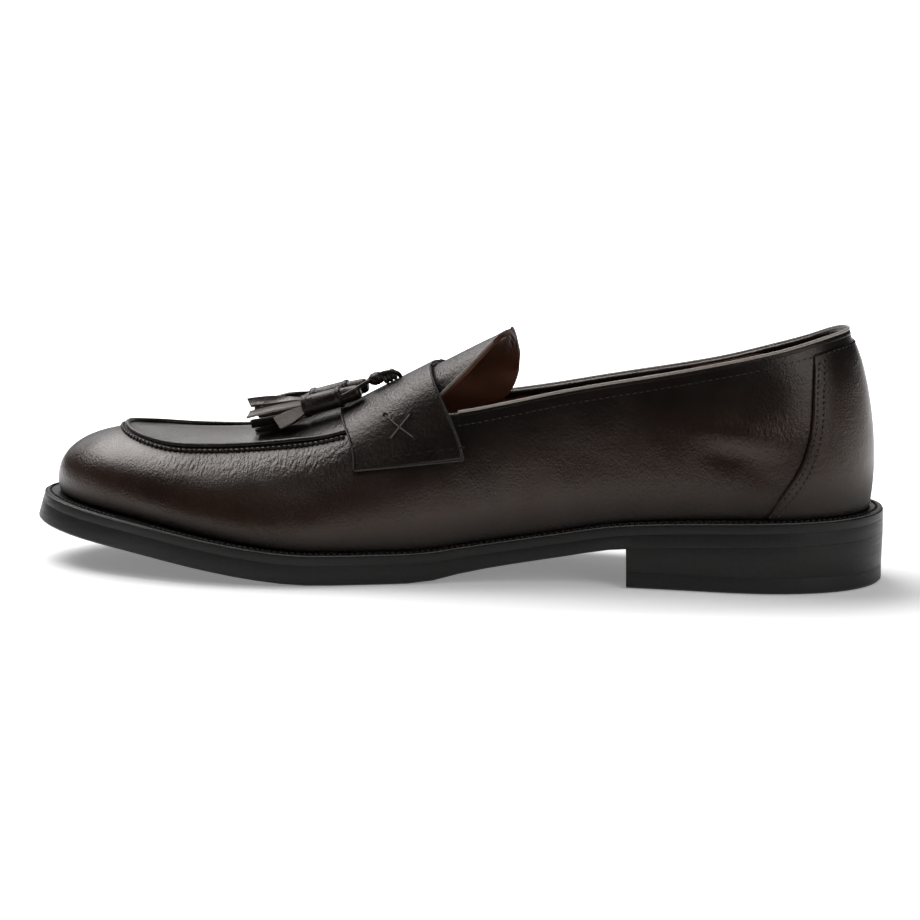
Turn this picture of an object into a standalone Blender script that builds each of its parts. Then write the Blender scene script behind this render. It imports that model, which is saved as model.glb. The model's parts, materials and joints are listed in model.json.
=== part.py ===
"""Tassel loafer, right shoe.

Sizes are millimetres: station runs from the back of the heel to the toe, side is plus to the
outer side of the foot, height is up from the floor. The mesh is written in metres, toe at -X.
"""
import math

import bmesh
import bpy
import numpy as np
from mathutils import Vector

# Whole shoe
LENGTH = 300.0
TOE_SIDE = -4.0
GAP = 0.3
CURVE_SAMPLES = 2401

# Sole outline: station, outer half width, inner half width
OUTLINE = (
    (8.0, 21.0, 21.0),
    (32.0, 33.5, 33.0),
    (65.0, 35.0, 32.5),
    (100.0, 36.5, 30.5),
    (140.0, 42.5, 33.0),
    (180.0, 51.0, 44.5),
    (208.0, 54.0, 51.0),
    (236.0, 50.0, 49.5),
    (262.0, 42.0, 42.0),
    (284.0, 27.5, 31.0),
    (296.0, 12.0, 18.0),
)

# Sole heights: station, underside of the outsole, outsole and welt together
SOLE_HEIGHTS = (
    (0.0, 17.2, 8.3),
    (40.0, 16.2, 8.3),
    (86.0, 13.6, 8.3),
    (112.0, 9.2, 8.4),
    (132.0, 5.6, 8.7),
    (142.0, 3.6, 9.2),
    (150.0, 1.4, 10.0),
    (157.0, 0.3, 10.4),
    (164.0, 0.0, 10.5),
    (190.0, 0.0, 10.5),
    (200.0, 0.5, 10.5),
    (214.0, 2.1, 10.5),
    (233.0, 4.9, 10.5),
    (256.0, 8.5, 10.5),
    (280.0, 11.6, 10.4),
    (300.0, 14.4, 10.2),
)
WELT_THICK = 3.6
EDGE_ROUND = 0.7
TOE_LEAN = 2.4
TOE_LEAN_FROM = 252.0
OUTSOLE_LEAN_SHARE = 0.65
LIFT_THICK = 5.3
HEEL_BREAST = 85.0
HEEL_TAPER = 0.5
BREAST_HOLLOW = 2.0
HEEL_STEPS = 22

# Feather line: share of the way from heel to toe, step in from the sole's edge
FEATHER_MARGIN = (
    (0.0, 5.6),
    (0.15, 5.0),
    (0.35, 3.6),
    (0.55, 4.2),
    (0.75, 5.6),
    (0.9, 6.6),
    (1.0, 7.6),
)

# Ridge of the last: station, side, height
RIDGE = (
    (38.0, 0.0, 112.0),
    (60.0, -1.0, 109.0),
    (90.0, -4.0, 101.0),
    (115.0, -6.5, 93.0),
    (134.0, -8.0, 84.0),
    (160.0, -8.0, 70.2),
    (172.0, -7.0, 63.8),
    (191.0, -5.5, 54.2),
    (207.0, -4.5, 50.2),
    (225.0, -4.0, 47.2),
    (239.0, -4.0, 46.4),
    (250.0, -4.0, 46.6),
    (258.0, -4.0, 47.0),
)

# Sections: share, ridge station, belly outer, belly inner, rise, crown outer, crown inner
SECTIONS = (
    (0.0, 38.0, 6.0, 6.0, 34.0, 24.0, 24.0),
    (0.08, 42.0, 6.0, 6.0, 34.0, 26.0, 26.0),
    (0.15, 52.0, 6.0, 6.0, 35.0, 28.5, 28.5),
    (0.25, 74.0, 6.0, 6.5, 37.0, 29.0, 28.0),
    (0.35, 99.0, 6.0, 7.0, 38.0, 29.0, 26.0),
    (0.43, 119.0, 6.0, 8.0, 36.0, 29.0, 24.0),
    (0.50, 136.0, 6.5, 8.0, 32.0, 27.0, 21.0),
    (0.555, 154.0, 6.5, 7.5, 28.0, 25.0, 20.0),
    (0.61, 172.0, 6.5, 7.0, 24.0, 24.0, 20.0),
    (0.665, 190.0, 6.0, 6.5, 21.0, 25.0, 22.0),
    (0.72, 206.0, 6.0, 6.0, 20.0, 27.0, 24.0),
    (0.775, 221.0, 5.5, 5.5, 20.0, 28.0, 26.0),
    (0.83, 235.0, 5.0, 5.0, 20.0, 28.0, 27.0),
    (0.885, 246.0, 4.7, 4.7, 19.3, 26.0, 26.0),
    (0.94, 254.0, 4.5, 4.5, 18.2, 22.3, 22.3),
    (1.0, 258.0, 4.5, 4.5, 17.6, 19.0, 19.0),
)

# Topline seen from the side: station, height inside the foot, dip on the outer side
TOPLINE = (
    (0.0, 88.6, 0.0),
    (11.4, 88.0, 0.0),
    (33.0, 82.8, 2.5),
    (65.0, 75.8, 4.6),
    (107.0, 67.6, 4.2),
    (132.0, 61.8, 2.8),
    (150.0, 58.6, 1.0),
    (160.0, 59.4, 0.0),
    (168.0, 62.4, 0.0),
    (172.0, 65.6, 0.0),
    (300.0, 180.0, 0.0),
)

# Upper
WALL = 2.0
SIDE_COLUMNS = 46
END_CLUSTER = 0.35
LOWER_ROWS = 7
CROWN_ROWS = 3
APRON_FRONT = 268.0
APRON_CENTRE = 238.0
APRON_HALF_WIDTH = 24.8
APRON_BACK_STATION = 180.0
APRON_BACK_HALF_WIDTH = 23.2
APRON_OUTWARD = 2.7
SEAM_HEIGHT = 1.6
SEAM_HALF_WIDTH = 2.0
SEAM_FADE_FROM = 197.0
SEAM_FADE_TO = 192.5
QUARTER_ROW_SHARE = 0.86
QUARTER_SHARE_AT = 0.42

# Insole
INSOLE_ABOVE_WELT = 2.6
INSOLE_CLEARANCE = 0.5

# Saddle strap: corner stations and heights seen from the side
STRAP_THICK = 1.6
STRAP_FRONT_TOP = 188.6
STRAP_BACK_TOP = 156.6
STRAP_FRONT_END = (179.0, 38.5)
STRAP_BACK_END = (141.2, 43.0)
STRAP_FRONT_BOW = 2.4
STRAP_BACK_BOW = 1.45
STRAP_ACROSS = 9
STRAP_ALONG = 11

# Heel counter: height, station of its front edge
COUNTER_THICK = 0.8
COUNTER_EDGE = (
    (20.0, 43.0),
    (25.7, 39.0),
    (29.8, 34.8),
    (36.7, 29.4),
    (43.6, 25.2),
    (51.5, 22.8),
    (58.0, 21.8),
    (77.0, 21.8),
    (95.0, 23.9),
)
COUNTER_LOW = 0.03
COUNTER_BELOW_TOPLINE = 3.4
COUNTER_ROWS = 10
COUNTER_COLUMNS = 17

# Tongue: station on the ridge, arc from the ridge to its inner and to its outer edge
TONGUE_THICK = 2.2
TONGUE_EDGES = (
    (124.0, 33.0, 42.0),
    (126.0, 19.0, 48.0),
    (128.5, 4.0, 50.5),
    (131.0, -9.0, 51.0),
    (133.5, -16.0, 51.0),
    (141.0, -24.0, 50.0),
    (156.0, -25.0, 46.0),
    (180.0, -16.0, 36.0),
)
TONGUE_END_CLUSTER = 1.7
TONGUE_TUCK = 3.2
TONGUE_TUCK_FROM = 4.0
TONGUE_TUCK_TO = 9.0
TONGUE_ROWS = 15
TONGUE_COLUMNS = 13

# Tassels: neck and mouth of the hood, station, side, height
NEAR_NECK = (181.9, -12.8, 63.0)
NEAR_MOUTH = (203.6, -13.4, 56.4)
FAR_NECK = (181.9, -0.6, 63.4)
FAR_MOUTH = (203.6, 1.4, 56.8)
HOOD_PROFILE = (
    (0.0, 1.9),
    (1.0, 2.7),
    (6.4, 3.0),
    (7.0, 3.9),
    (8.6, 4.1),
    (9.4, 3.7),
    (18.6, 3.7),
    (19.4, 4.1),
    (20.6, 4.1),
    (21.2, 3.4),
)
HOOD_SEGMENTS = 16
FRINGE_STRIPS = 9
FRINGE_LENGTH = 17.0
FRINGE_VARIATION = 2.0
FRINGE_WIDTH = 3.0
FRINGE_ROOT_WIDTH = 1.5
FRINGE_THICK = 0.9
FRINGE_ROOT_RADIUS = 2.75
FRINGE_TIP_RADIUS = 5.4
FRINGE_RISE = 1.1
FRINGE_SINK = 0.5
FRINGE_FIRST_ANGLE = 0.23
FRINGE_SLANT = 1.4
FRINGE_STEPS = 5
FRINGE_ROOT_IN = 2.0

# Lace and knot
LACE_RADIUS = 1.15
KNOT_STATION = 178.0
KNOT_SIDE = -7.5
KNOT_RADII = (2.4, 3.0, 1.9)
KNOT_LIFT = 2.5
LACE_LIFT = 0.6
LOOP_STATIONS = (174.2, 170.8)
LOOP_RADIUS = 2.6
LACE_TAIL_STATION = 167.5

# Colours and roughness
LEATHER = ((0.028, 0.020, 0.017), 0.38)
LEATHER_DARK = ((0.012, 0.009, 0.009), 0.42)
SOLE_BLACK = ((0.015, 0.015, 0.015), 0.40)
RUBBER_BLACK = ((0.012, 0.012, 0.012), 0.55)
LINING_BROWN = ((0.060, 0.034, 0.024), 0.60)


def column_of(table, index):
    return np.array([row[index] for row in table], dtype=float)


def smooth_between(knots, values, at):
    """Monotone cubic through a table, held level past its ends."""
    step = np.diff(knots)
    slope = np.diff(values) / step
    tangent = np.zeros_like(values)
    for i in range(1, len(values) - 1):
        if slope[i - 1] * slope[i] > 0:
            before = 2 * step[i] + step[i - 1]
            after = step[i] + 2 * step[i - 1]
            tangent[i] = (before + after) / (before / slope[i - 1] + after / slope[i])
    tangent[0] = slope[0]
    tangent[-1] = slope[-1]
    at = np.clip(np.asarray(at, dtype=float), knots[0], knots[-1])
    i = np.clip(np.searchsorted(knots, at) - 1, 0, len(step) - 1)
    along = (at - knots[i]) / step[i]
    value = (2 * along**3 - 3 * along**2 + 1) * values[i]
    value = value + (along**3 - 2 * along**2 + along) * step[i] * tangent[i]
    value = value + (3 * along**2 - 2 * along**3) * values[i + 1]
    return value + (along**3 - along**2) * step[i] * tangent[i + 1]


def closed_spline(knots, values, period, at):
    """Periodic cubic through values at the knots."""
    count = len(knots)
    step = np.diff(np.append(knots, knots[0] + period))
    rise = np.roll(values, -1, axis=0) - values
    slope = rise / step[:, None]
    matrix = np.zeros((count, count))
    for i in range(count):
        matrix[i, i - 1] += step[i - 1]
        matrix[i, i] += 2 * (step[i - 1] + step[i])
        matrix[i, (i + 1) % count] += step[i]
    bend = np.linalg.solve(matrix, 6 * (slope - np.roll(slope, 1, axis=0)))
    at = (np.asarray(at, dtype=float) - knots[0]) % period + knots[0]
    i = np.clip(np.searchsorted(knots, at, side="right") - 1, 0, count - 1)
    after = (i + 1) % count
    along = (at - knots[i])[..., None]
    left = step[i][..., None] - along
    width = step[i][..., None]
    curve = (bend[i] * left**3 + bend[after] * along**3) / (6 * width)
    curve = curve + (values[i] / width - bend[i] * width / 6) * left
    return curve + (values[after] / width - bend[after] * width / 6) * along


def soft_step(low, high, value):
    share = np.clip((value - low) / (high - low), 0.0, 1.0)
    return share * share * (3 - 2 * share)


def outline_halves():
    """Both halves of the sole's outline, evenly spaced from heel to toe."""
    outer = [(row[0], row[1]) for row in OUTLINE]
    inner = [(row[0], -row[2]) for row in reversed(OUTLINE)]
    points = np.array([(0.0, 0.0)] + outer + [(LENGTH, TOE_SIDE)] + inner)
    chord = np.linalg.norm(np.roll(points, -1, axis=0) - points, axis=1)
    knots = np.concatenate(([0.0], np.cumsum(chord)[:-1]))
    toe_knot = knots[len(outer) + 1]
    period = chord.sum()
    halves = []
    for end in (toe_knot, toe_knot - period):
        samples = closed_spline(knots, points, period, np.linspace(0.0, end, 900))
        walked = np.concatenate(([0.0], np.cumsum(np.linalg.norm(np.diff(samples, axis=0), axis=1))))
        halves.append((walked / walked[-1], samples))
    return halves


HALVES = outline_halves()
SIDE_MIDDLE = (HALVES[0][1][:, 1].max() + HALVES[1][1][:, 1].min()) / 2


def outline_at(turn):
    """Point of the outline; turn is the share to the toe, minus on the inner side."""
    turn = np.asarray(turn, dtype=float)
    found = np.zeros(turn.shape + (2,))
    for half, chosen in zip(HALVES, (turn >= 0, turn < 0)):
        for axis in range(2):
            found[chosen, axis] = np.interp(np.abs(turn[chosen]), half[0], half[1][:, axis])
    return found


def outward_at(turn):
    """Level direction out of the outline."""
    turn = np.asarray(turn, dtype=float)
    small = 0.004
    ahead = (turn + small + 1) % 2 - 1
    behind = (turn - small + 1) % 2 - 1
    along = outline_at(ahead) - outline_at(behind)
    out = np.stack((-along[..., 1], along[..., 0]), axis=-1)
    return out / np.linalg.norm(out, axis=-1, keepdims=True)


def inset_outline(turn, inset):
    return outline_at(turn) - outward_at(turn) * np.asarray(inset, dtype=float)[..., None]


def table_curve(table, column):
    """Function of the table's first column, read from close samples of its smooth curve."""
    knots = column_of(table, 0)
    samples = np.linspace(knots[0], knots[-1], CURVE_SAMPLES)
    values = smooth_between(knots, column_of(table, column), samples)
    return lambda at: np.interp(at, samples, values)


def section_samples():
    """Belly, rise and crown of the sections, sampled once round the shoe."""
    outer = [(row[0], row[2], row[4], row[5]) for row in SECTIONS]
    inner = [(2 - row[0], row[3], row[4], row[6]) for row in reversed(SECTIONS[1:-1])]
    rows = np.array(outer + inner)
    turns = np.linspace(0.0, 2.0, CURVE_SAMPLES)
    return turns, closed_spline(rows[:, 0], rows[:, 1:], 2.0, turns)


MARGIN_CURVE = table_curve(FEATHER_MARGIN, 1)
UNDERSIDE_CURVE = table_curve(SOLE_HEIGHTS, 1)
SOLE_THICK_CURVE = table_curve(SOLE_HEIGHTS, 2)
RIDGE_SIDE_CURVE = table_curve(RIDGE, 1)
RIDGE_HEIGHT_CURVE = table_curve(RIDGE, 2)
RIDGE_STATION_CURVE = table_curve(SECTIONS, 1)
TOPLINE_CURVE = table_curve(TOPLINE, 1)
TOPLINE_DIP_CURVE = table_curve(TOPLINE, 2)
COUNTER_CURVE = table_curve(COUNTER_EDGE, 1)
TONGUE_INNER_CURVE = table_curve(TONGUE_EDGES, 1)
TONGUE_OUTER_CURVE = table_curve(TONGUE_EDGES, 2)
SECTION_TURNS, SECTION_VALUES = section_samples()


def feather_margin(turn):
    return MARGIN_CURVE(np.abs(turn))


def underside(station):
    return UNDERSIDE_CURVE(station)


def welt_top(station):
    return UNDERSIDE_CURVE(station) + SOLE_THICK_CURVE(station)


def ridge_point(station):
    station = np.asarray(station, dtype=float)
    return np.stack((station, RIDGE_SIDE_CURVE(station), RIDGE_HEIGHT_CURVE(station)), axis=-1)


def ridge_station(turn):
    return RIDGE_STATION_CURVE(np.abs(turn))


def section_values(turn):
    """Belly, rise and crown of the section at this turn."""
    at = np.asarray(turn) % 2
    return np.stack([np.interp(at, SECTION_TURNS, SECTION_VALUES[:, i]) for i in range(3)], axis=-1)


def form(turn, up):
    """Point of the last's outside; up runs from the feather line to the ridge."""
    turn, up = np.broadcast_arrays(np.asarray(turn, dtype=float), np.asarray(up, dtype=float))
    foot = inset_outline(turn, feather_margin(turn))
    floor = welt_top(foot[..., 0]) + GAP
    start = np.concatenate((foot, floor[..., None]), axis=-1)
    values = section_values(turn)
    out = np.concatenate((outward_at(turn), np.zeros(turn.shape + (1,))), axis=-1)
    lower = start + out * values[..., :1]
    lower[..., 2] += values[..., 1]
    top_station = ridge_station(turn)
    top = ridge_point(top_station)
    spread = foot - top[..., :2]
    spread = spread / np.linalg.norm(spread, axis=-1, keepdims=True) * values[..., 2:]
    slope = (ridge_point(top_station + 0.5)[..., 2] - ridge_point(top_station - 0.5)[..., 2])
    upper = top.copy()
    upper[..., :2] += spread
    upper[..., 2] += slope * spread[..., 0]
    a = up[..., None]
    b = 1 - a
    return b**3 * start + 3 * b**2 * a * lower + 3 * b * a**2 * upper + a**3 * top


def form_normal(turn, up):
    turn, up = np.broadcast_arrays(np.asarray(turn, dtype=float), np.asarray(up, dtype=float))
    small = 0.004
    at = np.clip(up, small, 1 - 2 * small)
    ahead = (turn + small + 1) % 2 - 1
    behind = (turn - small + 1) % 2 - 1
    round_way = form(ahead, at) - form(behind, at)
    up_way = form(turn, at + small) - form(turn, at - small)
    normal = -np.cross(round_way, up_way)
    return normal / np.linalg.norm(normal, axis=-1, keepdims=True)


def on_form(turn, up, offset):
    return form(turn, up) + form_normal(turn, up) * np.asarray(offset, dtype=float)[..., None]


def halve(low, high, is_past, steps=24):
    """Arrays between low and high where is_past turns true."""
    low = np.array(low, dtype=float)
    high = np.array(high, dtype=float)
    for _ in range(steps):
        middle = (low + high) / 2
        past = is_past(middle)
        high = np.where(past, middle, high)
        low = np.where(past, low, middle)
    return (low + high) / 2


def topline_height(station, turn):
    return TOPLINE_CURVE(station) - np.where(turn > 0, TOPLINE_DIP_CURVE(station), 0.0)


def topline_up(turn):
    """How far up the form the upper reaches: one where it closes over the vamp."""

    def above(up):
        point = form(turn, up)
        return point[..., 2] > topline_height(point[..., 0], turn)

    closed = ~above(np.ones_like(turn))
    return np.where(closed, 1.0, halve(np.full_like(turn, 0.15), np.ones_like(turn), above))


def inside_apron(point):
    axis = ridge_point(np.clip(point[..., 0], RIDGE[0][0], RIDGE[-1][0]))[..., 1]
    across = np.abs(point[..., 1] - axis - APRON_OUTWARD)
    nose = (np.maximum(point[..., 0] - APRON_CENTRE, 0.0) / (APRON_FRONT - APRON_CENTRE)) ** 2
    back_share = np.clip((APRON_CENTRE - point[..., 0]) / (APRON_CENTRE - APRON_BACK_STATION), 0.0, 1.0)
    half = APRON_HALF_WIDTH + (APRON_BACK_HALF_WIDTH - APRON_HALF_WIDTH) * back_share
    return nose + (across / half) ** 2 < 1.0


def seam_share(turn, top):
    """Seam row as a share of each column, blended to a quarter row behind the strap."""
    crossing = halve(np.full_like(turn, 0.05), top, lambda up: inside_apron(form(turn, up)))
    share = crossing / top
    apart = np.abs(turn)
    vamp = ridge_station(turn) >= APRON_BACK_STATION
    last = apart[vamp].min()
    for side in (turn >= 0, turn < 0):
        edge = share[side & vamp][np.argmin(apart[side & vamp])]
        blend = soft_step(QUARTER_SHARE_AT, last, apart)
        behind = QUARTER_ROW_SHARE + (edge - QUARTER_ROW_SHARE) * blend
        share = np.where(side & ~vamp, behind, share)
    return share


def loop_turns():
    """Turns of the columns round the whole shoe, closer together at heel and toe."""
    even = np.linspace(0.0, 1.0, SIDE_COLUMNS + 1)
    share = (1 - END_CLUSTER) * even + END_CLUSTER * (1 - np.cos(math.pi * even)) / 2
    return np.concatenate((share, -share[-2:0:-1]))


def world(points):
    points = np.asarray(points, dtype=float)
    moved = np.stack((LENGTH / 2 - points[..., 0], points[..., 1] - SIDE_MIDDLE, points[..., 2]), axis=-1)
    return moved / 1000.0


def clear_scene():
    for thing in list(bpy.data.objects):
        bpy.data.objects.remove(thing, do_unlink=True)


def collection_named(name):
    made = bpy.data.collections.new(name)
    bpy.context.scene.collection.children.link(made)
    return made


def material_named(name, look):
    material = bpy.data.materials.new(name)
    material.use_nodes = True
    shader = material.node_tree.nodes["Principled BSDF"]
    shader.inputs["Base Color"].default_value = (*look[0], 1.0)
    shader.inputs["Roughness"].default_value = look[1]
    shader.inputs["Metallic"].default_value = 0.0
    return material


def object_from(name, points, faces, collection, material):
    mesh = bpy.data.meshes.new(name)
    mesh.from_pydata([tuple(p) for p in world(points)], [], faces)
    made = bpy.data.objects.new(name, mesh)
    collection.objects.link(made)
    mesh.materials.append(material)
    return made


def finish_mesh(thing, face_out):
    """Weld doubled points and, on a closed solid, turn all faces outward."""
    work = bmesh.new()
    work.from_mesh(thing.data)
    bmesh.ops.remove_doubles(work, verts=work.verts, dist=0.00002)
    if face_out:
        bmesh.ops.recalc_face_normals(work, faces=work.faces)
    work.to_mesh(thing.data)
    work.free()


def apply_modifiers(thing):
    bpy.context.view_layer.update()
    graph = bpy.context.evaluated_depsgraph_get()
    mesh = bpy.data.meshes.new_from_object(thing.evaluated_get(graph))
    thing.modifiers.clear()
    thing.data = mesh


def thicken(thing, thick, outward):
    shell = thing.modifiers.new("wall", "SOLIDIFY")
    shell.thickness = thick / 1000.0
    shell.offset = 1.0 if outward else -1.0
    shell.use_quality_normals = True
    apply_modifiers(thing)


def grid_faces(rows, columns, closed):
    """Faces of a grid stored row by row; closed joins the last column to the first."""
    faces = []
    last = columns if closed else columns - 1
    for row in range(rows - 1):
        for column in range(last):
            after = (column + 1) % columns
            low = row * columns
            high = low + columns
            faces.append((low + column, low + after, high + after, high + column))
    return faces


def cap_faces(start, count):
    """Strips across a loop that is the same on both sides of its first point."""
    faces = [(start, start + 1, start + count - 1)]
    half = count // 2
    for i in range(1, half - 1):
        faces.append((start + i, start + i + 1, start + count - i - 1, start + count - i))
    faces.append((start + half - 1, start + half, start + half + 1))
    return faces


def plate(name, loops, collection, material):
    """Solid from loops of equal count, stacked from bottom to top, capped both ways."""
    count = len(loops[0])
    points = np.concatenate(loops)
    faces = grid_faces(len(loops), count, True)
    faces += [tuple(reversed(face)) for face in cap_faces(0, count)]
    faces += cap_faces((len(loops) - 1) * count, count)
    made = object_from(name, points, faces, collection, material)
    finish_mesh(made, True)
    return made


def loop_at(turn, inset, height_of):
    flat = inset_outline(turn, inset)
    return np.concatenate((flat, height_of(flat[:, 0])[:, None]), axis=1)


def outsole_top(station):
    return welt_top(station) - WELT_THICK - GAP


def lean_at(turn, share):
    """Step in of the sole's edge at the toe, where it leans back with height."""
    return TOE_LEAN * share * soft_step(TOE_LEAN_FROM, LENGTH, outline_at(turn)[..., 0])


def make_outsole(collection, material):
    turn = loop_turns()
    none = np.zeros_like(turn)
    rounded = none + EDGE_ROUND
    loops = (
        loop_at(turn, rounded, underside),
        loop_at(turn, none, lambda station: underside(station) + EDGE_ROUND),
        loop_at(turn, lean_at(turn, OUTSOLE_LEAN_SHARE), outsole_top),
    )
    return plate("outsole", loops, collection, material)


def make_welt(collection, material):
    turn = loop_turns()
    low = lean_at(turn, OUTSOLE_LEAN_SHARE)
    high = lean_at(turn, 1.0)
    inner = feather_margin(turn) + WALL
    bottom = lambda station: outsole_top(station) + GAP
    loops = (
        loop_at(turn, inner, bottom),
        loop_at(turn, low, bottom),
        loop_at(turn, high, lambda station: welt_top(station) - EDGE_ROUND),
        loop_at(turn, high + EDGE_ROUND, welt_top),
        loop_at(turn, inner, welt_top),
        loop_at(turn, inner, bottom),
    )
    faces = grid_faces(len(loops), len(turn), True)
    made = object_from("welt", np.concatenate(loops), faces, collection, material)
    finish_mesh(made, True)
    return made


def make_insole(collection, material):
    turn = loop_turns()
    inset = feather_margin(turn) + WALL + INSOLE_CLEARANCE
    loops = (
        loop_at(turn, inset, lambda station: outsole_top(station) + GAP),
        loop_at(turn, inset, lambda station: welt_top(station) + INSOLE_ABOVE_WELT),
    )
    return plate("insole", loops, collection, material)


def heel_loop(inset, height_of):
    """Outline of the heel: round the back, then a slightly hollow breast."""

    def past_breast(turn):
        return outline_at(turn)[..., 0] > HEEL_BREAST

    corner_out = float(halve(np.array([0.05]), np.array([0.6]), past_breast)[0])
    corner_in = float(halve(np.array([0.05]), np.array([0.6]), lambda turn: past_breast(-turn))[0])
    outer = np.linspace(0.0, corner_out, HEEL_STEPS + 1)
    inner = -np.linspace(corner_in, 0.0, HEEL_STEPS + 1)[:-1]
    turn = np.concatenate((outer, inner))
    flat = inset_outline(turn, np.full_like(turn, inset))
    middle = (flat[HEEL_STEPS] + flat[HEEL_STEPS + 1]) / 2 - np.array([BREAST_HOLLOW, 0.0])
    flat = np.insert(flat, HEEL_STEPS + 1, middle, axis=0)
    return np.concatenate((flat, height_of(flat[:, 0])[:, None]), axis=1)


def make_heel(collection, material, lift_material):
    level = lambda height: (lambda station: np.full_like(station, height))
    lift = (
        heel_loop(HEEL_TAPER + EDGE_ROUND, level(0.0)),
        heel_loop(HEEL_TAPER, level(EDGE_ROUND)),
        heel_loop(HEEL_TAPER, level(LIFT_THICK)),
    )
    stack = (
        heel_loop(HEEL_TAPER, level(LIFT_THICK + GAP)),
        heel_loop(0.0, lambda station: underside(station) - GAP),
    )
    plate("heel_top_lift", lift, collection, lift_material)
    plate("heel_stack", stack, collection, material)


def upper_rows(turn):
    """Heights up the form of every row of the upper, and the seam's row number."""
    top = topline_up(turn)
    seam = seam_share(turn, top) * top
    steps = np.linspace(0.0, 1.0, 25)[:, None]
    path = form(np.broadcast_to(turn, (25, len(turn))), steps * top)
    arc = np.linalg.norm(np.diff(path, axis=0), axis=2).sum(axis=0)
    half = SEAM_HALF_WIDTH * top / arc
    rows = [(seam - half) * k / LOWER_ROWS for k in range(LOWER_ROWS + 1)]
    rows.append(seam)
    above = np.minimum(seam + half, seam + (top - seam) * 0.5)
    rows += [above + (top - above) * k / CROWN_ROWS for k in range(CROWN_ROWS + 1)]
    return np.array(rows), LOWER_ROWS + 1


def make_upper(collection, material):
    turn = loop_turns()
    rows, seam_row = upper_rows(turn)
    turns = np.broadcast_to(turn, rows.shape)
    points = form(turns, rows)
    normals = form_normal(turns, rows)
    count = len(turn)
    faces = grid_faces(len(rows), count, True)
    made = object_from("upper", points.reshape(-1, 3), faces, collection, material)
    finish_mesh(made, False)
    thicken(made, WALL, False)
    raise_seam(made, points[seam_row], normals[seam_row])
    finish_mesh(made, True)
    return made


def raise_seam(thing, seam_points, seam_normals):
    """Lift the seam row off the outer face of the wall."""
    lift = SEAM_HEIGHT * soft_step(SEAM_FADE_TO, SEAM_FADE_FROM, seam_points[:, 0])
    spots = world(seam_points)
    raised = world(seam_points + seam_normals * lift[:, None])
    coords = np.array([vertex.co for vertex in thing.data.vertices])
    for spot, target, height in zip(spots, raised, lift):
        nearest = int(np.argmin(np.linalg.norm(coords - spot, axis=1)))
        if height > 0.0:
            thing.data.vertices[nearest].co = Vector(target)


def turn_for_ridge(station):
    return float(halve(np.array([0.0]), np.array([1.0]), lambda turn: ridge_station(turn) > station)[0])


def strap_places(side):
    """Turn and up of the strap on one side, a row per line across, low end to ridge."""
    across = np.linspace(0.0, 1.0, STRAP_ACROSS)
    top_station = STRAP_FRONT_TOP + (STRAP_BACK_TOP - STRAP_FRONT_TOP) * across
    top_height = ridge_point(top_station)[:, 2]
    end_station = STRAP_FRONT_END[0] + (STRAP_BACK_END[0] - STRAP_FRONT_END[0]) * across
    end_height = STRAP_FRONT_END[1] + (STRAP_BACK_END[1] - STRAP_FRONT_END[1]) * across
    bow = STRAP_FRONT_BOW + (STRAP_BACK_BOW - STRAP_FRONT_BOW) * across

    def turn_at(up):
        def past(turn):
            point = form(side * turn, up)
            share = np.clip((point[:, 2] - end_height) / (top_height - end_height), 0.0, 1.0)
            return point[:, 0] > end_station + (top_station - end_station) * share**bow

        return halve(np.full_like(up, 0.3), np.full_like(up, 0.9), past)

    def above_end(up):
        return form(side * turn_at(up), up)[:, 2] > end_height

    low = halve(np.zeros_like(across), np.ones_like(across), above_end)
    places = []
    for along in np.linspace(0.0, 1.0, STRAP_ALONG)[:-1]:
        up = low + (1.0 - low) * along
        places.append(np.stack((side * turn_at(up), up), axis=-1))
    ridge = np.array([(side * turn_for_ridge(station), 1.0) for station in top_station])
    places.append(ridge)
    return np.array(places).transpose(1, 0, 2)


def make_strap(collection, material):
    inner = strap_places(-1.0)
    outer = strap_places(1.0)[:, ::-1]
    places = np.concatenate((inner, outer[:, 1:]), axis=1)
    points = on_form(places[..., 0], places[..., 1], np.full(places.shape[:2], GAP))
    faces = grid_faces(*places.shape[:2], False)
    made = object_from("saddle_strap", points.reshape(-1, 3), faces, collection, material)
    face_up(made)
    thicken(made, STRAP_THICK, True)
    finish_mesh(made, True)
    return made


def face_up(thing):
    """Turn an open sheet over if its faces look down on the whole."""
    work = bmesh.new()
    work.from_mesh(thing.data)
    if sum(face.normal.z * face.calc_area() for face in work.faces) < 0:
        bmesh.ops.reverse_faces(work, faces=work.faces)
    work.to_mesh(thing.data)
    work.free()


def counter_up(turn, share):
    """Up on the form of a counter row, from just over the welt to under the topline."""
    top = topline_up(turn)
    limit = form(turn, top)[..., 2] - COUNTER_BELOW_TOPLINE
    below = halve(np.zeros_like(turn), top, lambda up: form(turn, up)[..., 2] > limit)
    return COUNTER_LOW + (below - COUNTER_LOW) * share


def make_counter(collection, material):
    share = np.linspace(0.0, 1.0, COUNTER_ROWS)

    def edge(side):
        def past(turn):
            point = form(side * turn, counter_up(side * turn, share))
            return point[..., 0] > COUNTER_CURVE(point[..., 2])

        return side * halve(np.full_like(share, 0.01), np.full_like(share, 0.4), past)

    across = np.linspace(0.0, 1.0, COUNTER_COLUMNS)
    start = edge(-1.0)[:, None]
    turn = start + (edge(1.0)[:, None] - start) * across
    up = counter_up(turn, np.broadcast_to(share[:, None], turn.shape))
    points = on_form(turn, up, np.full_like(turn, GAP))
    faces = grid_faces(*points.shape[:2], False)
    made = object_from("heel_counter", points.reshape(-1, 3), faces, collection, material)
    thicken(made, COUNTER_THICK, True)
    finish_mesh(made, True)
    return made


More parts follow.
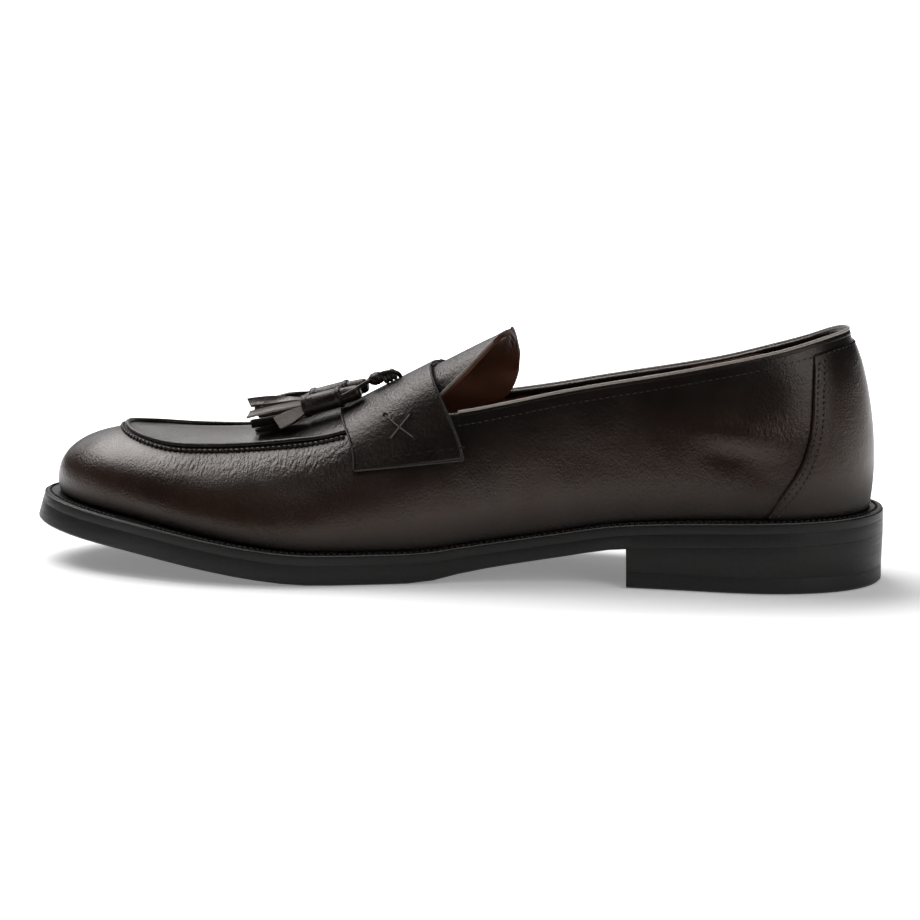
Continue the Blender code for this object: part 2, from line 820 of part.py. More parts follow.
def tongue_point(turn, arc):
    """Up on the form at this arc from the ridge, plus to the outer side."""
    side = 1.0 if arc >= 0 else -1.0
    ups = np.linspace(1.0, 0.2, 60)
    path = form(np.full_like(ups, side * turn), ups)
    walked = np.concatenate(([0.0], np.cumsum(np.linalg.norm(np.diff(path, axis=0), axis=1))))
    return side * turn, float(np.interp(abs(arc), walked, ups))


def make_tongue(collection, material):
    places = []
    back = TONGUE_EDGES[0][0]
    reach = TONGUE_EDGES[-1][0] - back
    for share in np.linspace(1.0, 0.0, TONGUE_ROWS):
        station = back + reach * share**TONGUE_END_CLUSTER
        turn = turn_for_ridge(station)
        arcs = np.linspace(TONGUE_INNER_CURVE(station), TONGUE_OUTER_CURVE(station), TONGUE_COLUMNS)
        places.append([tongue_point(turn, arc) for arc in arcs])
    places = np.array(places)
    base = form(places[..., 0], places[..., 1])
    above = base[..., 2] - topline_height(base[..., 0], places[..., 0])
    tuck = -TONGUE_TUCK * (1 - soft_step(TONGUE_TUCK_FROM, TONGUE_TUCK_TO, above))
    points = on_form(places[..., 0], places[..., 1], tuck)
    faces = grid_faces(*places.shape[:2], False)
    made = object_from("tongue", points.reshape(-1, 3), faces, collection, material)
    face_up(made)
    thicken(made, TONGUE_THICK, False)
    finish_mesh(made, True)
    return made


def turned(name, profile, collection, material):
    """Solid turned about its own Z by the Screw modifier."""
    mesh = bpy.data.meshes.new(name)
    points = [(0.0, 0.0, profile[0][0] / 1000.0)]
    points += [(radius / 1000.0, 0.0, height / 1000.0) for height, radius in profile]
    points += [(0.0, 0.0, profile[-1][0] / 1000.0)]
    mesh.from_pydata(points, [(i, i + 1) for i in range(len(points) - 1)], [])
    made = bpy.data.objects.new(name, mesh)
    collection.objects.link(made)
    spin = made.modifiers.new("turn", "SCREW")
    spin.axis = "Z"
    spin.steps = HOOD_SEGMENTS
    spin.render_steps = HOOD_SEGMENTS
    spin.use_merge_vertices = True
    spin.merge_threshold = 0.00001
    apply_modifiers(made)
    made.data.materials.clear()
    made.data.materials.append(material)
    finish_mesh(made, True)
    return made


def strip_mesh(name, index, collection, material):
    """One strip of fringe in the tassel's own frame, running along +Z from the hood."""
    angle = 2 * math.pi * index / FRINGE_STRIPS + FRINGE_FIRST_ANGLE
    wave = math.sin(5.0 * angle + 1.0)
    length = FRINGE_LENGTH + FRINGE_VARIATION * wave
    out = np.array([math.cos(angle), math.sin(angle), 0.0])
    side = np.array([-math.sin(angle), math.cos(angle), 0.0])
    rings = []
    for share in np.linspace(0.0, 1.0, FRINGE_STEPS):
        radius = FRINGE_ROOT_RADIUS + (FRINGE_TIP_RADIUS - FRINGE_ROOT_RADIUS) * share**1.4
        centre = out * radius + np.array([0.0, 0.0, share * (length + FRINGE_ROOT_IN) - FRINGE_ROOT_IN])
        lift = FRINGE_RISE if centre[1] > 0 else FRINGE_SINK
        centre[1] *= 1 + (lift - 1) * share
        twist = side * math.cos(0.5 * wave * share) + out * math.sin(0.5 * wave * share)
        flat = out * math.cos(0.5 * wave * share) - side * math.sin(0.5 * wave * share)
        slant = np.array([0.0, 0.0, FRINGE_SLANT * share * wave])
        width = FRINGE_ROOT_WIDTH + (FRINGE_WIDTH - FRINGE_ROOT_WIDTH) * share
        for a, b in ((-1, -1), (1, -1), (1, 1), (-1, 1)):
            corner = centre + twist * a * width / 2 + flat * b * FRINGE_THICK / 2 + slant * a
            rings.append(corner / 1000.0)
    faces = grid_faces(FRINGE_STEPS, 4, True)
    faces.append((3, 2, 1, 0))
    last = (FRINGE_STEPS - 1) * 4
    faces.append((last, last + 1, last + 2, last + 3))
    mesh = bpy.data.meshes.new(name)
    mesh.from_pydata([tuple(p) for p in rings], [], faces)
    made = bpy.data.objects.new(name, mesh)
    collection.objects.link(made)
    mesh.materials.append(material)
    finish_mesh(made, True)
    return made


def fuse(base, added):
    """Union of the base with each added piece; the added pieces stay as hidden cutters."""
    for piece in added:
        piece.hide_render = True
        piece.display_type = "WIRE"
        join = base.modifiers.new("fuse", "BOOLEAN")
        join.operation = "UNION"
        join.solver = "EXACT"
        join.object = piece
    apply_modifiers(base)
    finish_mesh(base, True)


def place_along(thing, start, end):
    """Move a piece made along +Z so that it runs from start to end, its +Y kept up."""
    begin = Vector(world(np.array(start)))
    along = (Vector(world(np.array(end))) - begin).normalized()
    across = Vector((0.0, 0.0, 1.0)).cross(along).normalized()
    upward = along.cross(across)
    for vertex in thing.data.vertices:
        local = vertex.co.copy()
        vertex.co = begin + across * local.x + upward * local.y + along * local.z


def make_tassel(name, neck, mouth, collection, cutters, material):
    hood = turned(name, HOOD_PROFILE, collection, material)
    hood_length = HOOD_PROFILE[-1][0] / 1000.0
    strips = []
    for index in range(FRINGE_STRIPS):
        strip = strip_mesh(name + "_strip", index, cutters, material)
        for vertex in strip.data.vertices:
            vertex.co.z += hood_length
        strips.append(strip)
    fuse(hood, strips)
    place_along(hood, neck, mouth)
    return hood


def tube(name, points, radius, cutters):
    """Round cord along points, as a mesh with closed ends."""
    curve = bpy.data.curves.new(name, "CURVE")
    curve.dimensions = "3D"
    curve.bevel_depth = radius / 1000.0
    curve.bevel_resolution = 2
    curve.use_fill_caps = True
    line = curve.splines.new("POLY")
    line.points.add(len(points) - 1)
    for spot, place in zip(line.points, world(np.array(points))):
        spot.co = (*place, 1.0)
    drawn = bpy.data.objects.new(name, curve)
    cutters.objects.link(drawn)
    bpy.context.view_layer.update()
    graph = bpy.context.evaluated_depsgraph_get()
    mesh = bpy.data.meshes.new_from_object(drawn.evaluated_get(graph))
    bpy.data.objects.remove(drawn, do_unlink=True)
    made = bpy.data.objects.new(name, mesh)
    cutters.objects.link(made)
    finish_mesh(made, True)
    return made


def strap_top(station, side, lift):
    """Point above the strap's outer face near the ridge."""
    turn = turn_for_ridge(station)
    ridge_side = float(ridge_point(np.array(station))[1])
    place = tongue_point(turn, side - ridge_side)
    high = np.array([GAP + STRAP_THICK + lift])
    return on_form(np.array([place[0]]), np.array([place[1]]), high)[0]


def lace_path(neck, mouth):
    """From just off the hood's neck up to the knot."""
    neck = np.array(neck)
    back = neck - np.array(mouth)
    back = back / np.linalg.norm(back)
    knot = strap_top(KNOT_STATION, KNOT_SIDE, KNOT_LIFT)
    start = neck + back * GAP
    bend = neck + back * 2.5
    shares = np.linspace(0.0, 1.0, 7)[:, None]
    return (1 - shares) ** 2 * start + 2 * shares * (1 - shares) * bend + shares**2 * knot


def make_lace(collection, cutters, material):
    knot = strap_top(KNOT_STATION, KNOT_SIDE, KNOT_LIFT)
    bpy.ops.mesh.primitive_uv_sphere_add(segments=12, ring_count=7, radius=0.001)
    made = bpy.context.object
    made.name = "tassel_lace"
    for vertex in made.data.vertices:
        spot = vertex.co.copy()
        vertex.co = Vector([spot[i] * KNOT_RADII[i] for i in range(3)]) + Vector(world(knot))
    for owner in list(made.users_collection):
        owner.objects.unlink(made)
    collection.objects.link(made)
    made.data.materials.append(material)
    pieces = []
    for neck, mouth in ((NEAR_NECK, NEAR_MOUTH), (FAR_NECK, FAR_MOUTH)):
        pieces.append(tube("lace_end", lace_path(neck, mouth), LACE_RADIUS, cutters))
    tail_stations = np.linspace(KNOT_STATION, LACE_TAIL_STATION, 6)
    tail = [strap_top(station, KNOT_SIDE, LACE_RADIUS + LACE_LIFT) for station in tail_stations]
    pieces.append(tube("lace_tail", tail, LACE_RADIUS, cutters))
    for station in LOOP_STATIONS:
        arch = []
        for angle in np.linspace(-0.15 * math.pi, 1.15 * math.pi, 13):
            reach = LOOP_RADIUS * math.cos(angle)
            lift = LACE_RADIUS + LACE_LIFT + LOOP_RADIUS * 0.55 * max(math.sin(angle), -0.1)
            arch.append(strap_top(station, KNOT_SIDE + reach, lift))
        pieces.append(tube("lace_wrap", arch, LACE_RADIUS, cutters))
    fuse(made, pieces)
    return made


def build():
    clear_scene()
    shoe = collection_named("tassel_loafer")
    cutters = collection_named("cutters")
    leather = material_named("leather", LEATHER)
    dark = material_named("leather_dark", LEATHER_DARK)
    sole = material_named("sole_edge", SOLE_BLACK)
    rubber = material_named("heel_rubber", RUBBER_BLACK)
    lining = material_named("lining", LINING_BROWN)
    make_outsole(shoe, sole)
    make_welt(shoe, sole)
    make_heel(shoe, sole, rubber)
    make_insole(shoe, lining)
    make_upper(shoe, leather)
    make_tongue(shoe, dark)
    make_strap(shoe, dark)
    make_counter(shoe, leather)
    make_tassel("near_tassel", NEAR_NECK, NEAR_MOUTH, shoe, cutters, dark)
    make_tassel("far_tassel", FAR_NECK, FAR_MOUTH, shoe, cutters, dark)
    make_lace(shoe, cutters, dark)


build()
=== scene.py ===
"""Tassel loafer, right shoe: leather, stitching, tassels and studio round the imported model.

Sizes are millimetres: station runs from the back of the heel to the toe, side is plus to the outer
side of the foot and zero in the middle of the shoe, height is up from the floor.
"""
import json
import math

import bpy
import numpy as np
from mathutils import Matrix, Vector
from mathutils.bvhtree import BVHTree

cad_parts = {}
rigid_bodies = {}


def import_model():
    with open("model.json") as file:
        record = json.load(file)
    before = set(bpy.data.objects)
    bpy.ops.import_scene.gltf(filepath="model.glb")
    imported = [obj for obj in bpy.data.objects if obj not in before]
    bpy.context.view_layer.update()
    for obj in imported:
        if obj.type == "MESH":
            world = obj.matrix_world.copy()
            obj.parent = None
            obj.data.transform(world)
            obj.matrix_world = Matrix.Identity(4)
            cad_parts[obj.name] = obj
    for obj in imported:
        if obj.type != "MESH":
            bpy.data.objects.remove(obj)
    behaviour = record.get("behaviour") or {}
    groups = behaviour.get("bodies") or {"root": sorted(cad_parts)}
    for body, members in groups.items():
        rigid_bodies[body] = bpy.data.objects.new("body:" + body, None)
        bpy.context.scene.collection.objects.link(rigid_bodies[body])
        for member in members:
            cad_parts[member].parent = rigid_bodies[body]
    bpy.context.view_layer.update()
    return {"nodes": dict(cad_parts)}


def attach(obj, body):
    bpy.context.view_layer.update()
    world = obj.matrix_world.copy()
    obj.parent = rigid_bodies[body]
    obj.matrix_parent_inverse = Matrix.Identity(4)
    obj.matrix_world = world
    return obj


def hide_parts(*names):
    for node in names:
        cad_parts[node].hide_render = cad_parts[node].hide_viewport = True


HALF_LENGTH = 150.0
MERGE = 0.00001
FAR_OFF = 200.0
UP = Vector((0.0, 0.0, 1.0))
WHITE = (1.0, 1.0, 1.0, 1.0)

# Modelling: angles in degrees, steps and casting distances in metres, balls by segments and rings
PAIR_ANGLE = 60.0
SHEET_EDGE_ANGLE = 40.0
SMOOTH_LEVELS = 2
FACING_LIMIT = 0.45
OUTER_FACE = 0
CUT_EDGE = 2
LEVEL_FACE = 0.8
SPAN_SAMPLES = 12
CORD_ROUNDING = 3
CORD_STEP = 0.001
ROUTE_STEP = 0.0008
CAST_FROM = 0.02
STITCH_BALL = (6, 5)
STITCH_LIFT = 0.05
SIDES = ((-1.0, "near"), (1.0, "far"))

# Spine inside the shoe, which tells outer faces from inner ones
SPINE_SIDE = -4.0
SPINE_HEIGHT = 30.0
SPINE_STATIONS = (40.0, 255.0)

# Top of the welt and top of the side wall along the shoe: station, height
WELT_TOP = (
    (0.0, 25.5), (40.0, 24.5), (86.0, 21.9), (112.0, 17.6), (132.0, 14.3),
    (150.0, 11.4), (164.0, 10.5), (190.0, 10.5), (214.0, 12.6), (233.0, 15.4),
    (256.0, 19.0), (280.0, 22.0), (300.0, 24.6),
)
WALL_TOP = (
    (0.0, 88.6), (11.4, 88.0), (33.0, 82.8), (65.0, 75.8), (107.0, 67.6),
    (132.0, 61.8), (150.0, 56.0), (184.0, 50.0), (200.0, 45.5), (224.0, 43.0),
    (250.0, 43.5), (268.0, 47.5), (300.0, 47.5),
)

# Apron seam in plan
APRON_BACK = 184.0
APRON_CENTRE = 238.0
APRON_FRONT = 268.0
APRON_AXIS = -2.8
APRON_BACK_AXIS = -5.0
APRON_HALF = 24.8
APRON_BACK_HALF = 23.3
APRON_SIDE_POINTS = 10
APRON_NOSE_POINTS = 31
APRON_ROLL = 0.9
APRON_ROLL_LIFT = 0.35
APRON_ROLL_STEP = 0.0012
# Stitches here and below: length, gap, radius
APRON_STITCH = (2.6, -0.7, 0.78)
APRON_STITCH_OUT = 1.7
APRON_STITCH_LIFT = 0.1
APRON_STITCH_SLANT = 24.0

# Soft creases on both quarters: start and end station and height, half width, depth
CREASES = (
    ((74.0, 68.0), (30.0, 67.0), 7.0, -1.2),
    ((66.0, 56.5), (26.0, 52.0), 4.5, 0.9),
    ((60.0, 49.0), (30.0, 45.5), 4.0, -0.7),
    ((46.0, 44.0), (29.0, 37.0), 5.0, -0.8),
    ((112.0, 45.0), (92.0, 49.0), 7.0, -0.35),
    ((120.0, 34.0), (62.0, 34.0), 8.0, 0.3),
)
CREASE_FADE = (0.9, 0.05)

# Swell of the vamp before the strap: station, side, half length, half width, height
VAMP_SWELL = (194.0, 0.0, 10.0, 20.0, 2.3)
SWELL_FROM = (30.0, 40.0)
FOOT_DROP = 0.45
FOOT_RANGE = (0.2, 2.2)

# Painting of the upper, mostly painted light: shares of the wall's height, rings round the apron with 1
# on its seam, stations
# Painted shade next to the welt, rising into a painted floor reflection band low on the wall, then
# darker towards the top
WARM_RISE = (0.0, 0.3)
WARM_FALL = (0.5, 0.92)
WARM_LOSS = 0.9
VAMP_START = (150.0, 165.0)
APRON_RIM = (0.96, 1.0)
APRON_WARMTH = 0.22
# Painted shade round the apron seam, partly dark dye
SEAM_HALO = (1.04, 0.08)
SEAM_LOSS = 0.8
# Painted shade on the vamp under the strap
STRAP_SHADE = (160.0, 26.0)
STRAP_SHADE_FROM = (26.0, 44.0)
STRAP_LOSS = 0.75
WRINKLE_RING = (1.26, 0.2)
WRINKLE_START = (176.0, 190.0)
WRINKLE_END = (236.0, 262.0)
APRON_WRINKLE = 0.35
APRON_WRINKLE_END = (205.0, 225.0)
ANKLE_STATION = (42.0, 22.0)
ANKLE_HEIGHT = (55.0, 7.0)
ANKLE_WRINKLE = 0.5
FOOT_DULL = 0.32
FOOT_DULL_RANGE = (0.06, 0.3)
SEAM_DULL = 0.12

# Collar
COLLAR_FRONT = 152.0
COLLAR_MIDDLE = 80.0
RIM_DEPTH = 8.0
RIM_LEVEL = 0.72
BINDING_THICK = 0.3
RIM_BEAD = 0.55
RIM_BEAD_LIFT = 0.4
RIM_BEAD_OUT = 0.9
COLLAR_STITCH_DROP = 4.3
COLLAR_STITCH = (1.7, 0.7, 0.25)

# Heel counter's front edge: height, station
COUNTER_EDGE = (
    (24.5, 39.9), (29.8, 34.8), (36.7, 29.4), (43.6, 25.2), (51.5, 22.8),
    (58.0, 21.8), (68.0, 21.8), (79.8, 21.8),
)
COUNTER_STITCH_ROWS = (1.9, 3.9)
COUNTER_STITCH = (1.3, 0.75, 0.46)
COUNTER_LINE_STEP = 2.0
COUNTER_CRISP = 0.75
COUNTER_DROP = 2.9
COUNTER_DROP_RANGE = (3.3, 9.0)
COUNTER_TUCK = 0.5
COUNTER_TOP_BELOW = 3.4
COUNTER_SKIVE = 0.9
COUNTER_SKIVE_RANGE = (-4.0, -0.2)

# Saddle strap: hem stitches and the crossed stitch, station and height on each side
STRAP_HEM = ((177.0, 42.6), (163.2, 44.6), (149.5, 46.6), (142.6, 47.6))
STRAP_HEM_STITCH = (2.9, 0.9, 0.34)
CROSS_HOLES = ((170.0, 57.4), (158.7, 50.6), (160.9, 58.3), (167.4, 49.7))
CROSS_THREAD = 0.26
CROSS_LIFT = 0.2
CROSS_POINTS = 9
HOLE_RADIUS = 0.95
HOLE_FLATNESS = 0.45
HOLE_BALL = (12, 8)
STRAP_CRISP = 0.75
TONGUE_CRISP = 0.6

# Pale line along the cut edges of the strap and the tongue: radius, fewest points
STRAP_EDGE_LINE = 0.3
TONGUE_EDGE_LINE = 0.5
EDGE_LINE_POINTS = 6

# Tassels: neck and mouth of the hood, station, side, height
NEAR_NECK = (181.9, -14.3, 63.0)
NEAR_MOUTH = (203.6, -14.9, 56.4)
FAR_NECK = (181.9, -2.1, 63.4)
FAR_MOUTH = (203.6, -0.1, 56.8)
HOOD_PROFILE = (
    (0.0, 1.7), (0.5, 2.3), (1.5, 2.6), (6.2, 2.9), (6.7, 3.1),
    (6.9, 3.6), (7.3, 3.8), (7.9, 3.8), (8.2, 3.62), (8.6, 3.5),
    (13.5, 3.55), (18.6, 3.6), (19.0, 3.85), (19.4, 4.0), (20.4, 4.0),
    (20.8, 3.85), (21.0, 3.4), (20.2, 3.0), (18.0, 2.8),
)
HOOD_SIDES = 28
HOOD_SMOOTH = 40.0
# Fringe strips: angle round the hood, reach, side shift, rise of the tip, width, tilt, finish
FRINGE = (
    (82.0, 17.7, -1.6, 1.6, 3.7, 44.0, "fringe"),
    (118.0, 13.5, 1.6, 0.2, 3.2, 70.0, "fringe"),
    (40.0, 17.4, -4.0, -2.3, 2.9, 58.0, "suede"),
    (-6.0, 6.7, -6.0, -4.7, 5.0, 24.0, "suede"),
    (-44.0, 16.8, -2.4, -5.6, 3.5, -35.0, "fringe"),
    (-76.0, 14.3, -3.0, -8.7, 3.5, -25.0, "fringe"),
    (-112.0, 16.2, 0.8, -8.4, 3.4, -90.0, "fringe"),
    (152.0, 17.0, 4.2, -0.8, 3.3, 120.0, "fringe"),
    (188.0, 16.2, 5.6, -4.0, 3.3, 165.0, "suede"),
    (224.0, 15.0, 4.4, -7.5, 3.3, 200.0, "fringe"),
)
FAR_DROOP = 3.0
FAR_REACH = 0.8
FRINGE_THICK = 0.85
FRINGE_ROOT = 2.5
FRINGE_ROOT_WIDTH = 2.4
FRINGE_START = -2.6
FRINGE_SWELL = 1.0
FRINGE_SLANT = 0.7
FRINGE_CUP = 0.3
FRINGE_CLEAR = 0.5
FRINGE_ROWS = 9
FRINGE_COLUMNS = 4
FRINGE_TURN = 0.6
FRINGE_SPREAD = 1.7
FRINGE_CUP_MIDDLE = 0.3
FRINGE_TIP = 0.7
FRINGE_WAVES = 5
FRINGE_WAVE_START = 1.0
FRINGE_CAST = 0.03
FRINGE_EDGE_ANGLE = 50.0
FRINGE_CRISP = 0.8

# Lace from tassel to tassel and its knot on the strap
LACE_RADIUS = 0.75
LACE_STEP = 0.0005
RING_POINTS = 24
NEAR_LACE = (
    (189.2, -17.0, 60.8),
    (186.5, -17.4, 62.2),
    (183.0, -15.8, 64.2),
    (180.5, -11.5, 65.6),
    (178.5, -9.3, 66.6),
)
FAR_LACE = ((184.0, -2.1, 63.2), (182.0, -2.6, 64.4), (180.4, -5.0, 66.0), (178.3, -8.4, 66.8))
KNOT_CENTRE = (177.4, -9.0, 66.8)
KNOT_SIZE = (3.0, 2.6, 2.2)
KNOT_BALL = (24, 14)
KNOT_CORD = 0.5
KNOT_SINK = 0.84
KNOT_RISE = 22.0
KNOT_WRAPS = (-0.9, 0.2, 1.3)
KNOT_WRAP_LEAN = 35.0
COIL_CENTRE = (172.6, -9.0, 67.9)
COIL_STEPS = (-1.7, -0.1, 1.5)
COIL_RADIUS = 1.3
COIL_CORD = 0.85
COIL_RISE = 28.0
ARCH = (
    (177.0, -9.4, 68.0),
    (174.8, -10.5, 69.0),
    (172.4, -11.0, 69.7),
    (170.4, -10.7, 69.6),
    (169.3, -9.9, 68.9),
    (168.7, -9.0, 67.8),
)

# Sole layers, welt stitching and the painted highlight line on the welt's rim
LAYER_GAP = 0.29
EDGE_EASE = 0.06
INSOLE_EASE = 0.8
EASE_SEGMENTS = 3
EASE_ANGLE = 28.0
SOLE_SMOOTH = 35.0
HEEL_BREAST = 84.0
EDGE_STEP = 1.5
WELT_LEVEL = 0.85
WELT_BREAK = 0.03
WELT_STEP = 0.004
WELT_CAST = (0.03, 0.0018)
WELT_STITCH = (1.6, 0.45, 0.48)
WELT_STITCH_IN = 2.3
WELT_STITCH_LIFT = 0.1
WELT_RIM_IN = 0.5
WELT_RIM_LINE = 0.22
WELT_RIM_STEP = 0.002

# Colours
# Lighter brown where the upper's mask paints a floor reflection, deep brown where it paints shade; on
# the strap they vary at random
WARM_BROWN = (0.0185, 0.0088, 0.0056)
DEEP_BROWN = (0.0045, 0.0034, 0.0031)
STRAP_BROWN = (0.0140, 0.0092, 0.0074)
FRINGE_BROWN = (0.034, 0.028, 0.025)
SUEDE_BROWN = (0.31, 0.27, 0.25)
LINING_BROWN = (0.15, 0.06, 0.034)
# Pale colour of the collar bead: a painted highlight along the rim
RIM_HIGHLIGHT_BROWN = (0.42, 0.37, 0.33)
SOLE_BLACK = (0.0060, 0.0058, 0.0056)
RUBBER_BLACK = (0.0075, 0.0075, 0.0075)
THREAD_BLACK = (0.0045, 0.0038, 0.0035)
COUNTER_THREAD = (0.040, 0.033, 0.028)
STRAP_CORE = (0.030, 0.025, 0.022)
TONGUE_CORE = (0.27, 0.23, 0.205)
# Near black of the strap's stitch holes: painted shade inside the holes
HOLE_SHADE_BLACK = (0.0012, 0.0011, 0.0010)
THREAD_BROWN = (0.15, 0.125, 0.11)
WELT_THREAD = (0.024, 0.022, 0.020)
# Pale grey of the line on the welt's rim: a painted highlight
WELT_RIM = (0.10, 0.096, 0.090)
LEATHER_SHEEN = (1.0, 0.90, 0.84)
FLOOR_WHITE = (0.93, 0.93, 0.93)

# Leather in general: noises by scale and detail, ranges from and to
CLOUDS = (55.0, 4.0)
CLOUD_RANGE = (0.3, 0.7)
PAINT_UNEVEN = (0.72, 1.18)
BARE_UNEVEN = (0.15, 0.85)
LEATHER_ROUGH = (0.28, 0.37)
PEBBLE_SOFTNESS = 0.6
FINE_GRAIN = (2600.0, 2.0)
GRAIN_PATCHES = (120.0, 2.0)
PATCH_RANGE = (0.35, 0.65, 0.35, 1.0)
GRAIN_DEPTH = 0.00022
WRINKLE_DETAIL = 3.0
WRINKLE_RANGE = (0.32, 0.68, 0.0, 1.0)
WRINKLE_DEPTH = 0.0006
# Leathers: dark and lighter colour, painted or not by the upper's mask of painted shade and reflection,
# gloss, pebble scale, grain, wrinkle stretch, strength
LEATHERS = {
    "upper": (
        "burnished_calf", DEEP_BROWN, WARM_BROWN, True,
        0.48, 1150.0, 0.4, (950.0, 360.0, 360.0), 0.44,
    ),
    "strap": (
        "strap_calf", DEEP_BROWN, STRAP_BROWN, False,
        0.34, 1900.0, 0.42, (1000.0, 700.0, 700.0), 0.16,
    ),
    "fringe": (
        "fringe_calf", STRAP_BROWN, FRINGE_BROWN, False,
        0.48, 1500.0, 0.45, (300.0, 300.0, 300.0), 0.2,
    ),
}
# Plain stuffs: roughness, darker share, mottle noise, bump noise, bump strength and depth, specular
LINING_LOOK = (0.62, 0.6, (90.0, 4.0), (1900.0, 3.0), 0.25, 0.0002, 0.3)
RAW_LOOK = (0.6, 0.45, (1500.0, 3.0), (1500.0, 3.0), 0.6, 0.0004, 0.5)
THREAD_LOOK = (0.6, 0.5, (2500.0, 2.0), (2500.0, 2.0), 0.4, 0.0002, 0.25)
PLAIN_STUFFS = {
    "lining": ("lining_calf", LINING_BROWN, LINING_LOOK),
    "suede": ("suede", SUEDE_BROWN, RAW_LOOK),
    # Collar bead: a painted highlight
    "edge": ("cut_edge", RIM_HIGHLIGHT_BROWN, RAW_LOOK),
    "strap_core": ("strap_core", STRAP_CORE, RAW_LOOK),
    "tongue_core": ("tongue_core", TONGUE_CORE, RAW_LOOK),
    "welt_rim": ("welt_rim", WELT_RIM, RAW_LOOK),
    "black_thread": ("waxed_thread", THREAD_BLACK, THREAD_LOOK),
    "hole": ("stitch_hole", HOLE_SHADE_BLACK, THREAD_LOOK),
    "counter_thread": ("counter_thread", COUNTER_THREAD, THREAD_LOOK),
    "brown_thread": ("brown_thread", THREAD_BROWN, THREAD_LOOK),
    "welt_thread": ("welt_thread", WELT_THREAD, THREAD_LOOK),
}
# Waxed edges: lowest and highest roughness and strength of the streaks, then what both share
WAXED_EDGES = {
    "sole": ("waxed_sole_edge", SOLE_BLACK, 0.36, 0.48, 0.08),
    "rubber": ("heel_rubber", RUBBER_BLACK, 0.42, 0.54, 0.10),
}
STREAK_STRETCH = (60.0, 60.0, 1500.0)
STREAK_DETAIL = 3.0
SPECKS = (700.0, 3.0)
SPECK_PALER = 2.0
STREAK_DEPTH = 0.00025
WAX_SPECULAR = 0.25

# Camera
CAMERA_AZIMUTH = 10.8834
CAMERA_ELEVATION = 9.7784
CAMERA_DISTANCE = 2.0
CAMERA_TARGET = (0.0007, 0.0, 0.0373)
IMAGE_SIDE = 920.0
FOCAL_PIXELS = 5697.9
SENSOR = 36.0
VIEW_REACH = 50.0

# Softboxes: place, aim, width, depth, power
SOFTBOXES = {
    "overhead_softbox": ((-0.81, 0.60, 1.50), (0.0, 0.0, 0.04), 1.6, 1.1, 38.0),
    "back_panel": ((-0.70, 2.00, 0.95), (0.0, 0.0, 0.05), 2.6, 1.0, 10.0),
    "right_panel": ((1.30, -1.08, 0.74), (0.1, 0.0, 0.05), 1.1, 1.1, 9.0),
    "front_panel": ((0.40, -1.10, 1.45), (0.05, 0.0, 0.05), 1.0, 0.8, 3.6),
}
WORLD_LIGHT = 0.03
# Floor: glow in an oval round the shoe, then its bare parts before and behind the shoe
GLOW_OVAL = (6.2, 13.0, 1.0)
FLOOR_GLOW = (1.0, 1.9, 0.22, 0.75)
SWEEP_GLOW = 1.0
FLOOR_ROUGH = 0.9
FLOOR_SPECULAR = 0.1
FLOOR_FRONT = -0.15
FLOOR_BACK = 0.5
FLOOR_REACH = 7.0
FLOOR_DROP = 0.0003


def spot(station, side, height):
    return Vector(((HALF_LENGTH - station) / 1000.0, side / 1000.0, height / 1000.0))


def choose(*things):
    """Select only these objects, the first one active."""
    bpy.ops.object.select_all(action="DESELECT")
    for thing in things:
        thing.select_set(True)
    bpy.context.view_layer.objects.active = things[0]


def apply_modifiers(piece):
    choose(piece)
    for modifier in list(piece.modifiers):
        bpy.ops.object.modifier_apply(modifier=modifier.name)


def subdivide(piece):
    round_off = piece.modifiers.new("round_off", "SUBSURF")
    round_off.levels = SMOOTH_LEVELS
    round_off.render_levels = SMOOTH_LEVELS
    apply_modifiers(piece)
    choose(piece)
    bpy.ops.object.shade_smooth()


def copy_of(node, name, quads):
    """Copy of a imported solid, its doubled points merged and its triangles paired up."""
    piece = bpy.data.objects.new(name, frame["nodes"][node].data.copy())
    bpy.context.scene.collection.objects.link(piece)
    choose(piece)
    bpy.ops.mesh.customdata_custom_splitnormals_clear()
    piece.data.materials.clear()
    bpy.ops.object.mode_set(mode="EDIT")
    bpy.ops.mesh.select_all(action="SELECT")
    bpy.ops.mesh.remove_doubles(threshold=MERGE)
    if quads:
        angle = math.radians(PAIR_ANGLE)
        bpy.ops.mesh.tris_convert_to_quads(face_threshold=angle, shape_threshold=angle)
    bpy.ops.object.mode_set(mode="OBJECT")
    return piece


def crease_edges(piece, angle, sharpness):
    """Keep the cut edges of a leather sheet crisp when it is rounded off."""
    choose(piece)
    bpy.ops.object.mode_set(mode="EDIT")
    bpy.ops.mesh.select_mode(type="EDGE")
    bpy.ops.mesh.select_all(action="DESELECT")
    bpy.ops.mesh.edges_select_sharp(sharpness=math.radians(angle))
    bpy.ops.transform.edge_crease(value=sharpness)
    bpy.ops.mesh.select_mode(type="FACE")
    bpy.ops.object.mode_set(mode="OBJECT")


def select_faces(piece, numbers):
    """Go into edit mode with only these faces selected."""
    choose(piece)
    bpy.ops.object.mode_set(mode="EDIT")
    bpy.ops.mesh.select_mode(type="FACE")
    bpy.ops.mesh.select_all(action="DESELECT")
    bpy.ops.object.mode_set(mode="OBJECT")
    for number in numbers:
        piece.data.polygons[number].select = True
    bpy.ops.object.mode_set(mode="EDIT")


def settle(piece, slot, *nodes):
    """Attach a finished piece to the root body and hide the solids that it stands for; the slot is not
    used.
    """
    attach(piece, "root")
    if nodes:
        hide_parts(*nodes)


def points_of(piece):
    flat = np.zeros(len(piece.data.vertices) * 3)
    piece.data.vertices.foreach_get("co", flat)
    return flat.reshape(-1, 3)


def store_points(piece, points):
    piece.data.vertices.foreach_set("co", points.ravel())
    piece.data.update()


def face_values(piece):
    """Centres and normals of the faces."""
    count = len(piece.data.polygons)
    centres = np.zeros(count * 3)
    normals = np.zeros(count * 3)
    piece.data.polygons.foreach_get("center", centres)
    piece.data.polygons.foreach_get("normal", normals)
    return centres.reshape(-1, 3), normals.reshape(-1, 3)


def stations_of(points):
    return HALF_LENGTH - points[:, 0] * 1000.0


